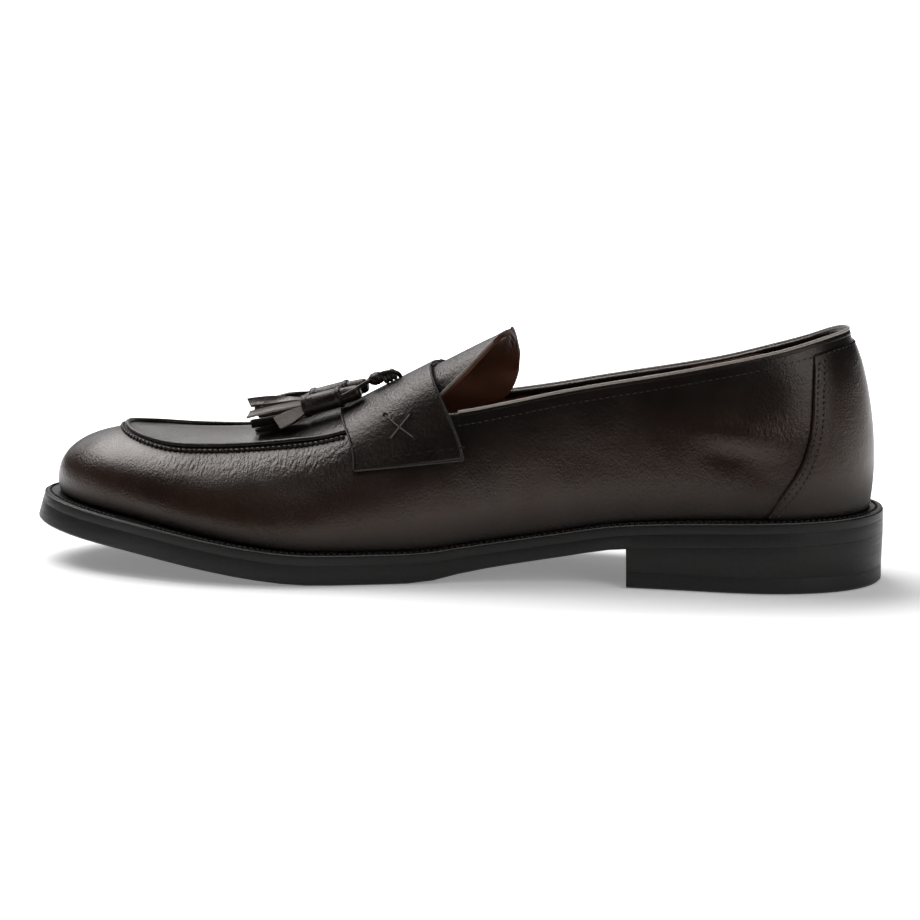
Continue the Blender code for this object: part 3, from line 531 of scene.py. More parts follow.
def away_from_spine(points):
    """Unit directions from the spine of the shoe out to the points, in metres."""
    station = np.clip(stations_of(points), *SPINE_STATIONS)
    spine = np.stack((
        (HALF_LENGTH - station) / 1000.0,
        np.full_like(station, SPINE_SIDE / 1000.0),
        np.full_like(station, SPINE_HEIGHT / 1000.0),
    ), axis=1)
    away = points - spine
    return away / np.linalg.norm(away, axis=1, keepdims=True)


def dress_faces(piece, outside, inside, edge):
    """Materials by the way the faces look: out of the shoe, into it, or along it."""
    for finish in (outside, inside, edge):
        piece.data.materials.append(finish)
    centres, normals = face_values(piece)
    facing = (normals * away_from_spine(centres)).sum(axis=1)
    index = np.where(facing > FACING_LIMIT, OUTER_FACE, np.where(facing < -FACING_LIMIT, 1, CUT_EDGE))
    piece.data.polygons.foreach_set("material_index", index.astype(np.int32))


def soft_step(low, high, value):
    share = np.clip((value - low) / (high - low), 0.0, 1.0)
    return share * share * (3 - 2 * share)


def bell(value, middle, width):
    return np.exp(-(((value - middle) / width) ** 2))


def table_value(table, at):
    return np.interp(at, [row[0] for row in table], [row[1] for row in table])


def tree_of(piece):
    bpy.context.view_layer.update()
    return BVHTree.FromObject(piece, bpy.context.evaluated_depsgraph_get())


def smooth_line(points, step):
    """Smooth curve through points, resampled at an even step in metres."""
    points = np.array([tuple(p) for p in points])
    ends = np.vstack((2 * points[0] - points[1], points, 2 * points[-1] - points[-2]))
    fine = []
    for i in range(1, len(ends) - 2):
        for share in np.linspace(0.0, 1.0, SPAN_SAMPLES, endpoint=False):
            a, b, c, d = ends[i - 1 : i + 3]
            bend = 2 * a - 5 * b + 4 * c - d
            twist = 3 * b - a - 3 * c + d
            fine.append(0.5 * (2 * b + (c - a) * share + bend * share**2 + twist * share**3))
    fine.append(points[-1])
    fine = np.array(fine)
    walked = np.concatenate(([0.0], np.cumsum(np.linalg.norm(np.diff(fine, axis=0), axis=1))))
    even = np.linspace(0.0, walked[-1], max(int(walked[-1] / step), 2) + 1)
    return np.stack([np.interp(even, walked, fine[:, axis]) for axis in range(3)], axis=1)


def cast(tree, start, toward, lift):
    """Point on the leather met by a ray, raised by lift millimetres."""
    place, normal, _, _ = tree.ray_cast(start, toward)
    return None if place is None else place + normal * lift / 1000.0


def cast_on_first(trees, start, toward, lift):
    """The nearest of the points that a ray meets on several pieces."""
    found = [cast(tree, start, toward, lift) for tree in trees]
    found = [place for place in found if place is not None]
    return min(found, key=lambda place: (place - start).length, default=None)


def on_side(tree, way, line, lift):
    """Stations and heights laid on the near (way -1) or far (way 1) side of the shoe."""
    found = []
    for station, height in line:
        start = spot(station, way * FAR_OFF, height)
        found.append(cast(tree, start, Vector((0.0, -way, 0.0)), lift))
    return [place for place in found if place is not None]


def on_top(tree, line, lift):
    """Stations and sides laid on the shoe from above."""
    found = []
    for station, side in line:
        found.append(cast(tree, spot(station, side, FAR_OFF), -UP, lift))
    return [place for place in found if place is not None]


def line_curve(name, points):
    curve = bpy.data.curves.new(name, "CURVE")
    curve.dimensions = "3D"
    spline = curve.splines.new("POLY")
    spline.points.add(len(points) - 1)
    for knot, place in zip(spline.points, points):
        knot.co = (*place, 1.0)
    made = bpy.data.objects.new(name, curve)
    bpy.context.scene.collection.objects.link(made)
    return made


def cord_along(name, points, radius, finish, closed=False):
    """Round cord along a line of points, as a mesh."""
    made = line_curve(name, points)
    made.data.bevel_depth = radius / 1000.0
    made.data.bevel_resolution = CORD_ROUNDING
    made.data.use_fill_caps = True
    made.data.splines[0].use_cyclic_u = closed
    choose(made)
    bpy.ops.object.convert(target="MESH")
    made = bpy.context.object
    made.data.materials.clear()
    made.data.materials.append(finish)
    bpy.ops.object.shade_smooth()
    return made


def joined(name, parts):
    choose(*parts)
    bpy.ops.object.join()
    parts[0].name = name
    return parts[0]


def ball(segments, rings, radius):
    bpy.ops.object.select_all(action="DESELECT")
    bpy.ops.mesh.primitive_uv_sphere_add(segments=segments, ring_count=rings, radius=radius)
    return bpy.context.object


def stitch_row(name, points, stitch, finish, slant=0.0):
    """One stitch, repeated along a line on the leather."""
    length, gap, radius = stitch
    route = line_curve(name + "_route", smooth_line(points, ROUTE_STEP))
    route.data.twist_mode = "Z_UP"
    row = ball(*STITCH_BALL, 1.0)
    row.name = name
    half = length / 2000.0
    thick = radius / 1000.0
    bpy.ops.object.mode_set(mode="EDIT")
    bpy.ops.mesh.select_all(action="SELECT")
    bpy.ops.transform.rotate(value=math.pi / 2, orient_axis="Y", center_override=(0, 0, 0))
    bpy.ops.transform.resize(value=(half, thick, thick), center_override=(0, 0, 0))
    bpy.ops.transform.rotate(value=math.radians(slant), orient_axis="Z", center_override=(0, 0, 0))
    bpy.ops.transform.translate(value=(half, 0, 0))
    bpy.ops.object.mode_set(mode="OBJECT")
    repeat = row.modifiers.new("repeat", "ARRAY")
    repeat.fit_type = "FIT_CURVE"
    repeat.curve = route
    repeat.use_relative_offset = False
    repeat.use_constant_offset = True
    repeat.constant_offset_displace = ((length + gap) / 1000.0, 0.0, 0.0)
    follow = row.modifiers.new("follow", "CURVE")
    follow.object = route
    follow.deform_axis = "POS_X"
    apply_modifiers(row)
    bpy.data.objects.remove(route, do_unlink=True)
    choose(row)
    bpy.ops.object.shade_smooth()
    row.data.materials.append(finish)
    return row


def new_material(name, colour, roughness):
    material = bpy.data.materials.new(name)
    material.use_nodes = True
    shader = material.node_tree.nodes["Principled BSDF"]
    shader.inputs["Base Color"].default_value = (*colour, 1.0)
    shader.inputs["Roughness"].default_value = roughness
    return material, material.node_tree.nodes, material.node_tree.links, shader


def object_coordinates(nodes, links, scale):
    """Object coordinates with a scale on each axis."""
    coordinates = nodes.new("ShaderNodeTexCoord")
    mapping = nodes.new("ShaderNodeMapping")
    mapping.inputs["Scale"].default_value = scale
    links.new(coordinates.outputs["Object"], mapping.inputs["Vector"])
    return mapping.outputs["Vector"]


def noise_at(nodes, links, scale, detail, stretch=(1.0, 1.0, 1.0)):
    noise = nodes.new("ShaderNodeTexNoise")
    noise.inputs["Scale"].default_value = scale
    noise.inputs["Detail"].default_value = detail
    links.new(object_coordinates(nodes, links, stretch), noise.inputs["Vector"])
    return noise.outputs["Fac"]


def spread(nodes, links, value, low, high, new_low, new_high):
    """Map a range of a value to another one."""
    mapped = nodes.new("ShaderNodeMapRange")
    mapped.inputs["From Min"].default_value = low
    mapped.inputs["From Max"].default_value = high
    mapped.inputs["To Min"].default_value = new_low
    mapped.inputs["To Max"].default_value = new_high
    links.new(value, mapped.inputs["Value"])
    return mapped.outputs["Result"]


def combine(nodes, links, operation, first, second):
    maths = nodes.new("ShaderNodeMath")
    maths.operation = operation
    for socket, value in zip(maths.inputs, (first, second)):
        if isinstance(value, float):
            socket.default_value = value
        else:
            links.new(value, socket)
    return maths.outputs["Value"]


def blend_colours(nodes, links, share, first, second):
    mix = nodes.new("ShaderNodeMix")
    mix.data_type = "RGBA"
    mix.inputs["A"].default_value = (*first, 1.0)
    mix.inputs["B"].default_value = (*second, 1.0)
    links.new(share, mix.inputs["Factor"])
    return mix.outputs["Result"]


def bump_from(nodes, links, height, strength, distance, before=None):
    bump = nodes.new("ShaderNodeBump")
    bump.inputs["Strength"].default_value = strength
    bump.inputs["Distance"].default_value = distance
    links.new(height, bump.inputs["Height"])
    if before is not None:
        links.new(before, bump.inputs["Normal"])
    return bump.outputs["Normal"]


def painted_value(nodes, name):
    paint = nodes.new("ShaderNodeAttribute")
    paint.attribute_name = name
    return paint.outputs["Fac"]


def leather(name, dark, warm, painted, gloss, pebble, grain, wrinkle_stretch, wrinkle_strength):
    """Calf leather: pebbled grain, fine wrinkles, colour darker in places: random tone, and on the
    upper painted shade and a painted floor reflection.
    """
    material, nodes, links, shader = new_material(name, dark, LEATHER_ROUGH[0])
    clouds = noise_at(nodes, links, *CLOUDS)
    pebbles = nodes.new("ShaderNodeTexVoronoi")
    pebbles.feature = "SMOOTH_F1"
    pebbles.inputs["Scale"].default_value = pebble
    pebbles.inputs["Smoothness"].default_value = PEBBLE_SOFTNESS
    links.new(object_coordinates(nodes, links, (1.0, 1.0, 1.0)), pebbles.inputs["Vector"])
    fine = noise_at(nodes, links, *FINE_GRAIN)
    height = combine(nodes, links, "ADD", pebbles.outputs["Distance"], fine)
    patches = spread(nodes, links, noise_at(nodes, links, *GRAIN_PATCHES), *PATCH_RANGE)
    height = combine(nodes, links, "MULTIPLY", height, patches)
    normal = bump_from(nodes, links, height, grain, GRAIN_DEPTH)
    wrinkles = noise_at(nodes, links, 1.0, WRINKLE_DETAIL, wrinkle_stretch)
    wrinkles = spread(nodes, links, wrinkles, *WRINKLE_RANGE)
    rough = spread(nodes, links, clouds, *CLOUD_RANGE, *LEATHER_ROUGH)
    if painted:
        uneven = spread(nodes, links, clouds, *CLOUD_RANGE, *PAINT_UNEVEN)
        # On the upper the mask paints shade and a floor reflection into the colour
        share = combine(nodes, links, "MULTIPLY", painted_value(nodes, "burnish"), uneven)
        wrinkles = combine(nodes, links, "MULTIPLY", wrinkles, painted_value(nodes, "wrinkle"))
        rough = combine(nodes, links, "ADD", rough, painted_value(nodes, "dull"))
    else:
        share = spread(nodes, links, clouds, *CLOUD_RANGE, *BARE_UNEVEN)
    links.new(blend_colours(nodes, links, share, dark, warm), shader.inputs["Base Color"])
    normal = bump_from(nodes, links, wrinkles, wrinkle_strength, WRINKLE_DEPTH, normal)
    links.new(normal, shader.inputs["Normal"])
    links.new(rough, shader.inputs["Roughness"])
    shader.inputs["Specular IOR Level"].default_value = gloss
    shader.inputs["Specular Tint"].default_value = (*LEATHER_SHEEN, 1.0)
    return material


def plain_stuff(name, colour, look):
    """Lining, raw leather or thread: one mottled colour and a fine bump."""
    roughness, shade, mottle, bumps, strength, depth, specular = look
    material, nodes, links, shader = new_material(name, colour, roughness)
    darker = tuple(value * shade for value in colour)
    clouds = noise_at(nodes, links, *mottle)
    links.new(blend_colours(nodes, links, clouds, darker, colour), shader.inputs["Base Color"])
    fine = noise_at(nodes, links, *bumps)
    links.new(bump_from(nodes, links, fine, strength, depth), shader.inputs["Normal"])
    shader.inputs["Specular IOR Level"].default_value = specular
    return material


def waxed_edge(name, colour, low, high, streaks):
    """Waxed black sole edge with fine level streaks left by the edging iron."""
    material, nodes, links, shader = new_material(name, colour, low)
    level = noise_at(nodes, links, 1.0, STREAK_DETAIL, STREAK_STRETCH)
    specks = noise_at(nodes, links, *SPECKS)
    paler = tuple(value * SPECK_PALER for value in colour)
    links.new(blend_colours(nodes, links, specks, colour, paler), shader.inputs["Base Color"])
    links.new(spread(nodes, links, level, *CLOUD_RANGE, low, high), shader.inputs["Roughness"])
    height = combine(nodes, links, "ADD", level, specks)
    links.new(bump_from(nodes, links, height, streaks, STREAK_DEPTH), shader.inputs["Normal"])
    shader.inputs["Specular IOR Level"].default_value = WAX_SPECULAR
    return material


def press_creases(piece):
    """Soft creases in the quarters, the swell of the vamp, and the foot drawn to the welt."""
    points = points_of(piece)
    away = away_from_spine(points)
    flat = np.stack((stations_of(points), points[:, 2] * 1000.0), axis=1)
    push = np.zeros(len(points))
    for start, end, width, depth in CREASES:
        start = np.array(start)
        run = np.array(end) - start
        along = np.clip(((flat - start) @ run) / (run @ run), 0.0, 1.0)
        apart = np.linalg.norm(flat - start - along[:, None] * run, axis=1)
        fade = np.sin(math.pi * np.clip(along * CREASE_FADE[0] + CREASE_FADE[1], 0.0, 1.0))
        push += depth * fade * bell(apart, 0.0, width)
    points += away * push[:, None] / 1000.0
    station, side, length, width, height = VAMP_SWELL
    swell = bell(flat[:, 0], station, length) * bell(points[:, 1] * 1000.0, side, width)
    swell *= height * soft_step(*SWELL_FROM, flat[:, 1])
    foot = 1 - soft_step(*FOOT_RANGE, flat[:, 1] - table_value(WELT_TOP, flat[:, 0]))
    points[:, 2] += (swell - FOOT_DROP * foot) / 1000.0
    store_points(piece, points)


def apron_line(out=0.0):
    """Apron seam in plan, from the strap on the near side round the nose to the far side."""
    near, far = [], []
    for share in np.linspace(0.0, 1.0, APRON_SIDE_POINTS)[:-1]:
        station = APRON_BACK + (APRON_CENTRE - APRON_BACK) * share
        axis = APRON_BACK_AXIS + (APRON_AXIS - APRON_BACK_AXIS) * share
        half = APRON_BACK_HALF + (APRON_HALF - APRON_BACK_HALF) * share + out
        near.append((station, axis - half))
        far.append((station, axis + half))
    nose = []
    for angle in np.radians(np.linspace(-90.0, 90.0, APRON_NOSE_POINTS)):
        station = APRON_CENTRE + (APRON_FRONT - APRON_CENTRE + out) * math.cos(angle)
        nose.append((station, APRON_AXIS + (APRON_HALF + out) * math.sin(angle)))
    return near + nose + far[::-1]


def paint_upper(piece):
    """Painted light in the leather's colour: painted shade by the welt, a painted floor reflection low
    on the wall, darker towards the top, painted shade under the strap and round the apron seam, where
    dark dye adds to it. Also where the leather is dull, and where its grain gathers into wrinkles.
    """
    points = points_of(piece)
    station = stations_of(points)
    side = points[:, 1] * 1000.0
    height = points[:, 2] * 1000.0
    foot = table_value(WELT_TOP, station)
    share = (height - foot) / (table_value(WALL_TOP, station) - foot)
    # Painted shade by the welt, painted floor reflection low on the wall, darker towards the top
    warm = soft_step(*WARM_RISE, share) * (1 - WARM_LOSS * soft_step(*WARM_FALL, share))
    nose = (np.maximum(station - APRON_CENTRE, 0.0) / (APRON_FRONT - APRON_CENTRE)) ** 2
    ring = np.sqrt(nose + ((side - APRON_AXIS) / APRON_HALF) ** 2)
    vamp = soft_step(*VAMP_START, station)
    apron = vamp * (1 - soft_step(*APRON_RIM, ring))
    warm = warm * (1 - apron) + APRON_WARMTH * apron
    # Painted shade round the apron seam, partly dark dye, and under the strap
    halo = vamp * bell(ring, *SEAM_HALO)
    strap = bell(station, *STRAP_SHADE) * soft_step(*STRAP_SHADE_FROM, height)
    warm = warm * (1 - SEAM_LOSS * halo) * (1 - STRAP_LOSS * strap)
    wrinkle = vamp * bell(ring, *WRINKLE_RING) * soft_step(*WRINKLE_START, station)
    wrinkle *= 1 - soft_step(*WRINKLE_END, station)
    wrinkle += APRON_WRINKLE * apron * (1 - soft_step(*APRON_WRINKLE_END, station))
    wrinkle += ANKLE_WRINKLE * bell(station, *ANKLE_STATION) * bell(height, *ANKLE_HEIGHT)
    dull = FOOT_DULL * (1 - soft_step(*FOOT_DULL_RANGE, share)) + SEAM_DULL * halo
    for name, values in (("burnish", warm), ("wrinkle", wrinkle), ("dull", dull)):
        layer = piece.data.attributes.new(name, "FLOAT", "POINT")
        layer.data.foreach_set("value", np.clip(values, 0.0, 1.0).astype(np.float32))


def make_upper(finishes):
    piece = copy_of("upper", "upper_leather", True)
    dress_faces(piece, finishes["upper"], finishes["lining"], finishes["upper"])
    make_binding(piece, finishes)
    rim = collar_rim(piece)
    subdivide(piece)
    press_creases(piece)
    paint_upper(piece)
    settle(piece, "leather", "upper")
    tree = tree_of(piece)
    make_apron_seam(tree, finishes)
    return tree, rim


def rim_faces(piece):
    """Numbers of the faces along the top of the collar wall."""
    centres, normals = face_values(piece)
    station = stations_of(centres)
    high = centres[:, 2] * 1000.0 > table_value(WALL_TOP, station) - RIM_DEPTH
    return np.flatnonzero((normals[:, 2] > RIM_LEVEL) & (station < COLLAR_FRONT) & high)


def collar_rim(piece):
    """Middle of the collar's top edge, in order round the heel."""
    centres, _ = face_values(piece)
    rim = centres[rim_faces(piece)]
    turn = np.arctan2(rim[:, 1] * 1000.0, COLLAR_MIDDLE - stations_of(rim))
    return rim[np.argsort(turn)]


def make_binding(upper, finishes):
    """Strip of leather bound over the collar's edge."""
    select_faces(upper, rim_faces(upper))
    bpy.ops.mesh.select_more()
    bpy.ops.mesh.duplicate()
    bpy.ops.mesh.separate(type="SELECTED")
    bpy.ops.object.mode_set(mode="OBJECT")
    piece = [thing for thing in bpy.context.selected_objects if thing.name != upper.name][0]
    piece.name = "collar_binding"
    piece.data.materials.clear()
    piece.data.materials.append(finishes["strap"])
    shell = piece.modifiers.new("thickness", "SOLIDIFY")
    shell.thickness = BINDING_THICK / 1000.0
    shell.offset = 1.0
    subdivide(piece)
    settle(piece, "leather_dark")


def outward_of(line, middle):
    """Level directions out of the shoe at the inner points of a line round it."""
    ways = []
    for before, here, after in zip(line[:-2], line[1:-1], line[2:]):
        run = Vector(after - before)
        out = Vector((run.y, -run.x, 0.0)).normalized()
        ways.append(-out if out.dot(Vector(here) - middle) < 0 else out)
    return ways


def make_rim_bead(rim, ways, finishes):
    """Bead along the bound edge of the collar, pale as a painted highlight where the top edge catches
    the light.
    """
    lifted = []
    for here, out in zip(rim[1:-1], ways):
        lifted.append(Vector(here) + (out * RIM_BEAD_OUT + UP * RIM_BEAD_LIFT) / 1000.0)
    bead = cord_along("collar_bead", smooth_line(lifted, CORD_STEP), RIM_BEAD, finishes["edge"])
    settle(bead, "leather_dark")


def make_collar_stitches(trees, rim, ways, finishes):
    line = []
    for here, out in zip(rim[1:-1], ways):
        low = Vector(here) - UP * COLLAR_STITCH_DROP / 1000.0
        found = cast_on_first(trees, low + out * CAST_FROM, -out, STITCH_LIFT)
        if found is not None:
            line.append(found)
    row = stitch_row("collar_stitches", line, COLLAR_STITCH, finishes["counter_thread"])
    settle(row, "leather_dark")


def make_apron_seam(tree, finishes):
    """Rolled lip of the apron and the hand stitches along its foot."""
    crest = smooth_line(on_top(tree, apron_line(), APRON_ROLL_LIFT), APRON_ROLL_STEP)
    settle(cord_along("apron_roll", crest, APRON_ROLL, finishes["strap"]), "leather_dark")
    foot = on_top(tree, apron_line(APRON_STITCH_OUT), APRON_STITCH_LIFT)
    row = stitch_row("apron_stitches", foot, APRON_STITCH, finishes["strap"], APRON_STITCH_SLANT)
    settle(row, "leather_dark")


def fit_counter(piece):
    """Bring the counter's foot down to the welt and skive its upper edge."""
    points = points_of(piece)
    station = stations_of(points)
    height = points[:, 2] * 1000.0
    low = 1 - soft_step(*COUNTER_DROP_RANGE, height - table_value(WELT_TOP, station))
    above = height - table_value(WALL_TOP, station) + COUNTER_TOP_BELOW
    inward = COUNTER_TUCK * low + COUNTER_SKIVE * soft_step(*COUNTER_SKIVE_RANGE, above)
    points -= away_from_spine(points) * inward[:, None] / 1000.0
    points[:, 2] -= COUNTER_DROP * low / 1000.0
    store_points(piece, points)


def make_counter(finishes):
    piece = copy_of("heel_counter", "counter_leather", True)
    fit_counter(piece)
    crease_edges(piece, SHEET_EDGE_ANGLE, COUNTER_CRISP)
    dress_faces(piece, finishes["upper"], finishes["lining"], finishes["upper"])
    subdivide(piece)
    paint_upper(piece)
    settle(piece, "leather", "heel_counter")
    tree = tree_of(piece)
    edge = [(station, height, 0.0) for height, station in COUNTER_EDGE]
    fine = smooth_line(edge, COUNTER_LINE_STEP)[:, :2]
    run = np.gradient(fine, axis=0)
    behind = np.stack((-run[:, 1], run[:, 0]), axis=1)
    behind = behind / np.linalg.norm(behind, axis=1, keepdims=True)
    parts = []
    for way, label in SIDES:
        for number, back in enumerate(COUNTER_STITCH_ROWS):
            line = on_side(tree, way, fine + behind * back, STITCH_LIFT)
            name = f"counter_stitches_{label}_{number}"
            parts.append(stitch_row(name, line, COUNTER_STITCH, finishes["counter_thread"]))
    settle(joined("counter_stitches", parts), "leather_dark")
    return tree


def border_lines(piece, first, second):
    """Lines of points along the edges between the faces of two material slots."""
    kinds = {}
    for polygon in piece.data.polygons:
        for key in polygon.edge_keys:
            kinds.setdefault(key, set()).add(polygon.material_index)
    nearby = {}
    for (start, end), found in kinds.items():
        if found == {first, second}:
            nearby.setdefault(start, []).append(end)
            nearby.setdefault(end, []).append(start)
    lines = []
    while nearby:
        line = [min(nearby, key=lambda number: len(nearby[number]))]
        while nearby[line[-1]]:
            ahead = nearby[line[-1]].pop()
            nearby[ahead].remove(line[-1])
            line.append(ahead)
        nearby = {number: others for number, others in nearby.items() if others}
        lines.append([piece.data.vertices[number].co.copy() for number in line])
    return [line for line in lines if len(line) > EDGE_LINE_POINTS]


def make_edge_line(piece, name, radius, finish):
    """Thin pale line where the cut edge of a leather sheet shows its core, along its outer face."""
    cords = []
    for line in border_lines(piece, OUTER_FACE, CUT_EDGE):
        cords.append(cord_along(name, smooth_line(line, CORD_STEP), radius, finish))
    settle(joined(name, cords), "leather_dark")


def make_tongue(finishes):
    piece = copy_of("tongue", "tongue_leather", True)
    crease_edges(piece, SHEET_EDGE_ANGLE, TONGUE_CRISP)
    dress_faces(piece, finishes["strap"], finishes["lining"], finishes["lining"])
    subdivide(piece)
    settle(piece, "leather_dark", "tongue")
    make_edge_line(piece, "tongue_edge_line", TONGUE_EDGE_LINE, finishes["tongue_core"])


def make_strap(finishes):
    piece = copy_of("saddle_strap", "strap_leather", True)
    crease_edges(piece, SHEET_EDGE_ANGLE, STRAP_CRISP)
    dress_faces(piece, finishes["strap"], finishes["lining"], finishes["strap"])
    subdivide(piece)
    settle(piece, "leather_dark", "saddle_strap")
    make_edge_line(piece, "strap_edge_line", STRAP_EDGE_LINE, finishes["strap_core"])
    tree = tree_of(piece)
    hems, threads = [], []
    for way, label in SIDES:
        line = on_side(tree, way, STRAP_HEM, STITCH_LIFT)
        hems.append(stitch_row("hem_" + label, line, STRAP_HEM_STITCH, finishes["black_thread"]))
        for start, end in (CROSS_HOLES[:2], CROSS_HOLES[2:]):
            places = on_side(tree, way, np.linspace(start, end, CROSS_POINTS), CROSS_LIFT)
            threads.append(cord_along("cross_" + label, places, CROSS_THREAD, finishes["brown_thread"]))
    settle(joined("strap_hem_stitches", hems), "leather_dark")
    settle(joined("strap_cross_stitch", threads), "leather_dark")
    make_stitch_holes(tree, finishes)


def make_stitch_holes(tree, finishes):
    """Dimples coloured near black as painted shade in the holes where the crossed threads go through
    the strap.
    """
    holes = []
    for way, _ in SIDES:
        for place in on_side(tree, way, CROSS_HOLES, 0.0):
            hole = ball(*HOLE_BALL, HOLE_RADIUS / 1000.0)
            bpy.ops.object.mode_set(mode="EDIT")
            bpy.ops.transform.resize(value=(1.0, HOLE_FLATNESS, 1.0), center_override=(0, 0, 0))
            bpy.ops.transform.translate(value=place)
            bpy.ops.object.mode_set(mode="OBJECT")
            bpy.ops.object.shade_smooth()
            hole.data.materials.append(finishes["hole"])
            holes.append(hole)
    settle(joined("strap_stitch_holes", holes), "leather_dark")


def tassel_frame(neck, mouth):
    """Directions of a tassel: along it, level across it, and upward."""
    along = (spot(*mouth) - spot(*neck)).normalized()
    across = UP.cross(along).normalized()
    return along, across, along.cross(across)


def make_hood(name, neck, mouth, finish):
    """Rolled hood of a tassel, drawn out row by row from a disc."""
    first_height, first_radius = HOOD_PROFILE[0]
    bpy.ops.object.select_all(action="DESELECT")
    bpy.ops.mesh.primitive_circle_add(
        vertices=HOOD_SIDES,
        radius=first_radius / 1000.0,
        fill_type="NGON",
        location=(0.0, 0.0, first_height / 1000.0),
    )
    hood = bpy.context.object
    hood.name = name
    bpy.ops.object.transform_apply(location=True, rotation=True, scale=True)
    bpy.ops.object.mode_set(mode="EDIT")
    bpy.ops.mesh.select_all(action="SELECT")
    for before, after in zip(HOOD_PROFILE[:-1], HOOD_PROFILE[1:]):
        rise = (after[0] - before[0]) / 1000.0
        bpy.ops.mesh.extrude_region_move(TRANSFORM_OT_translate={"value": (0.0, 0.0, rise)})
        swell = after[1] / before[1]
        centre = (0.0, 0.0, after[0] / 1000.0)
        bpy.ops.transform.resize(value=(swell, swell, 1.0), center_override=centre)
    bpy.ops.mesh.select_all(action="SELECT")
    bpy.ops.mesh.normals_make_consistent(inside=False)
    bpy.ops.object.mode_set(mode="OBJECT")
    along, across, upward = tassel_frame(neck, mouth)
    turn = Matrix((across, upward, along)).transposed().to_4x4()
    hood.data.transform(Matrix.Translation(spot(*neck)) @ turn)
    bpy.ops.object.shade_smooth_by_angle(angle=math.radians(HOOD_SMOOTH))
    hood.data.materials.append(finish)
    return hood


def make_strip(row, mouth, ways, mirror, ground, finishes):
    """One strip of fringe from inside the hood to its slanted tip."""
    angle, reach, shift, rise, width, tilt, finish = row
    along, across, upward = ways
    angle = math.radians(angle if mirror > 0 else 180.0 - angle)
    radial = across * math.cos(angle) + upward * math.sin(angle)
    tilt = math.radians(tilt)
    looks = Vector((0.0, -mirror * math.cos(tilt), math.sin(tilt)))
    base = spot(*mouth)
    root = base + (radial * FRINGE_ROOT + along * FRINGE_START) / 1000.0
    if mirror < 0:
        rise -= FAR_DROOP
        reach *= FAR_REACH
    tip = base + Vector((-reach, mirror * shift, rise)) / 1000.0
    middle = (root + tip) / 2 + radial * FRINGE_SWELL / 1000.0
    bpy.ops.object.select_all(action="DESELECT")
    bpy.ops.mesh.primitive_grid_add(x_subdivisions=FRINGE_ROWS, y_subdivisions=FRINGE_COLUMNS, size=1.0)
    strip = bpy.context.object
    for vertex in strip.data.vertices:
        share = vertex.co.x + 0.5
        off = vertex.co.y
        place = root * (1 - share) ** 2 + middle * 2 * share * (1 - share) + tip * share**2
        run = ((middle - root) * (1 - share) + (tip - middle) * share).normalized()
        face = radial.lerp(looks, soft_step(0.0, FRINGE_TURN, share))
        face = (face - run * face.dot(run)).normalized()
        flat = run.cross(face)
        wide = FRINGE_ROOT_WIDTH + (width - FRINGE_ROOT_WIDTH) * min(share * FRINGE_SPREAD, 1.0)
        cup = FRINGE_CUP * (4 * off * off - FRINGE_CUP_MIDDLE) * share
        wave = math.sin(FRINGE_WAVES * angle + FRINGE_WAVE_START)
        slant = FRINGE_SLANT * off * 2 * soft_step(FRINGE_TIP, 1.0, share) * wave
        vertex.co = place + (flat * off * wide + face * cup + run * slant) / 1000.0
    for vertex in strip.data.vertices:
        below, _, _, _ = ground.ray_cast(vertex.co + UP * FRINGE_CAST, -UP)
        if below is not None:
            lowest = below.z + (FRINGE_CLEAR + FRINGE_THICK / 2) / 1000.0
            vertex.co.z = max(vertex.co.z, lowest)
    shell = strip.modifiers.new("thickness", "SOLIDIFY")
    shell.thickness = FRINGE_THICK / 1000.0
    shell.offset = 0.0
    apply_modifiers(strip)
    crease_edges(strip, FRINGE_EDGE_ANGLE, FRINGE_CRISP)
    subdivide(strip)
    strip.data.materials.append(finishes[finish])
    return strip


def make_tassel(name, neck, mouth, mirror, ground, finishes):
    ways = tassel_frame(neck, mouth)
    hood = make_hood(name + "_hood", neck, mouth, finishes["strap"])
    settle(hood, "leather_dark", name)
    strips = [make_strip(row, mouth, ways, mirror, ground, finishes) for row in FRINGE]
    settle(joined(name + "_fringe", strips), "leather_dark")


def ring_round(centre, rise, lean, step, width, height):
    """Points of a ring round the lace, a step along it and leaning to one side."""
    climb = Matrix.Rotation(math.radians(rise), 3, "Y")
    turn = climb @ Matrix.Rotation(math.radians(lean), 3, "Z")
    middle = climb @ Vector((step, 0.0, 0.0))
    ring = []
    for angle in np.linspace(0.0, 2 * math.pi, RING_POINTS, endpoint=False):
        offset = turn @ Vector((0.0, width * math.cos(angle), height * math.sin(angle)))
        ring.append(spot(*centre) + (middle + offset) / 1000.0)
    return ring


def make_bead(finish):
    """Core of the knot, a rounded lump that the wraps lie on."""
    bead = ball(*KNOT_BALL, 1 / 1000.0)
    bpy.ops.object.mode_set(mode="EDIT")
    bpy.ops.mesh.select_all(action="SELECT")
    bpy.ops.transform.resize(value=KNOT_SIZE, center_override=(0, 0, 0))
    bpy.ops.object.mode_set(mode="OBJECT")
    turn = Matrix.Rotation(math.radians(-KNOT_RISE), 4, "Y")
    bead.data.transform(Matrix.Translation(spot(*KNOT_CENTRE)) @ turn)
    bpy.ops.object.shade_smooth()
    bead.data.materials.append(finish)
    return bead


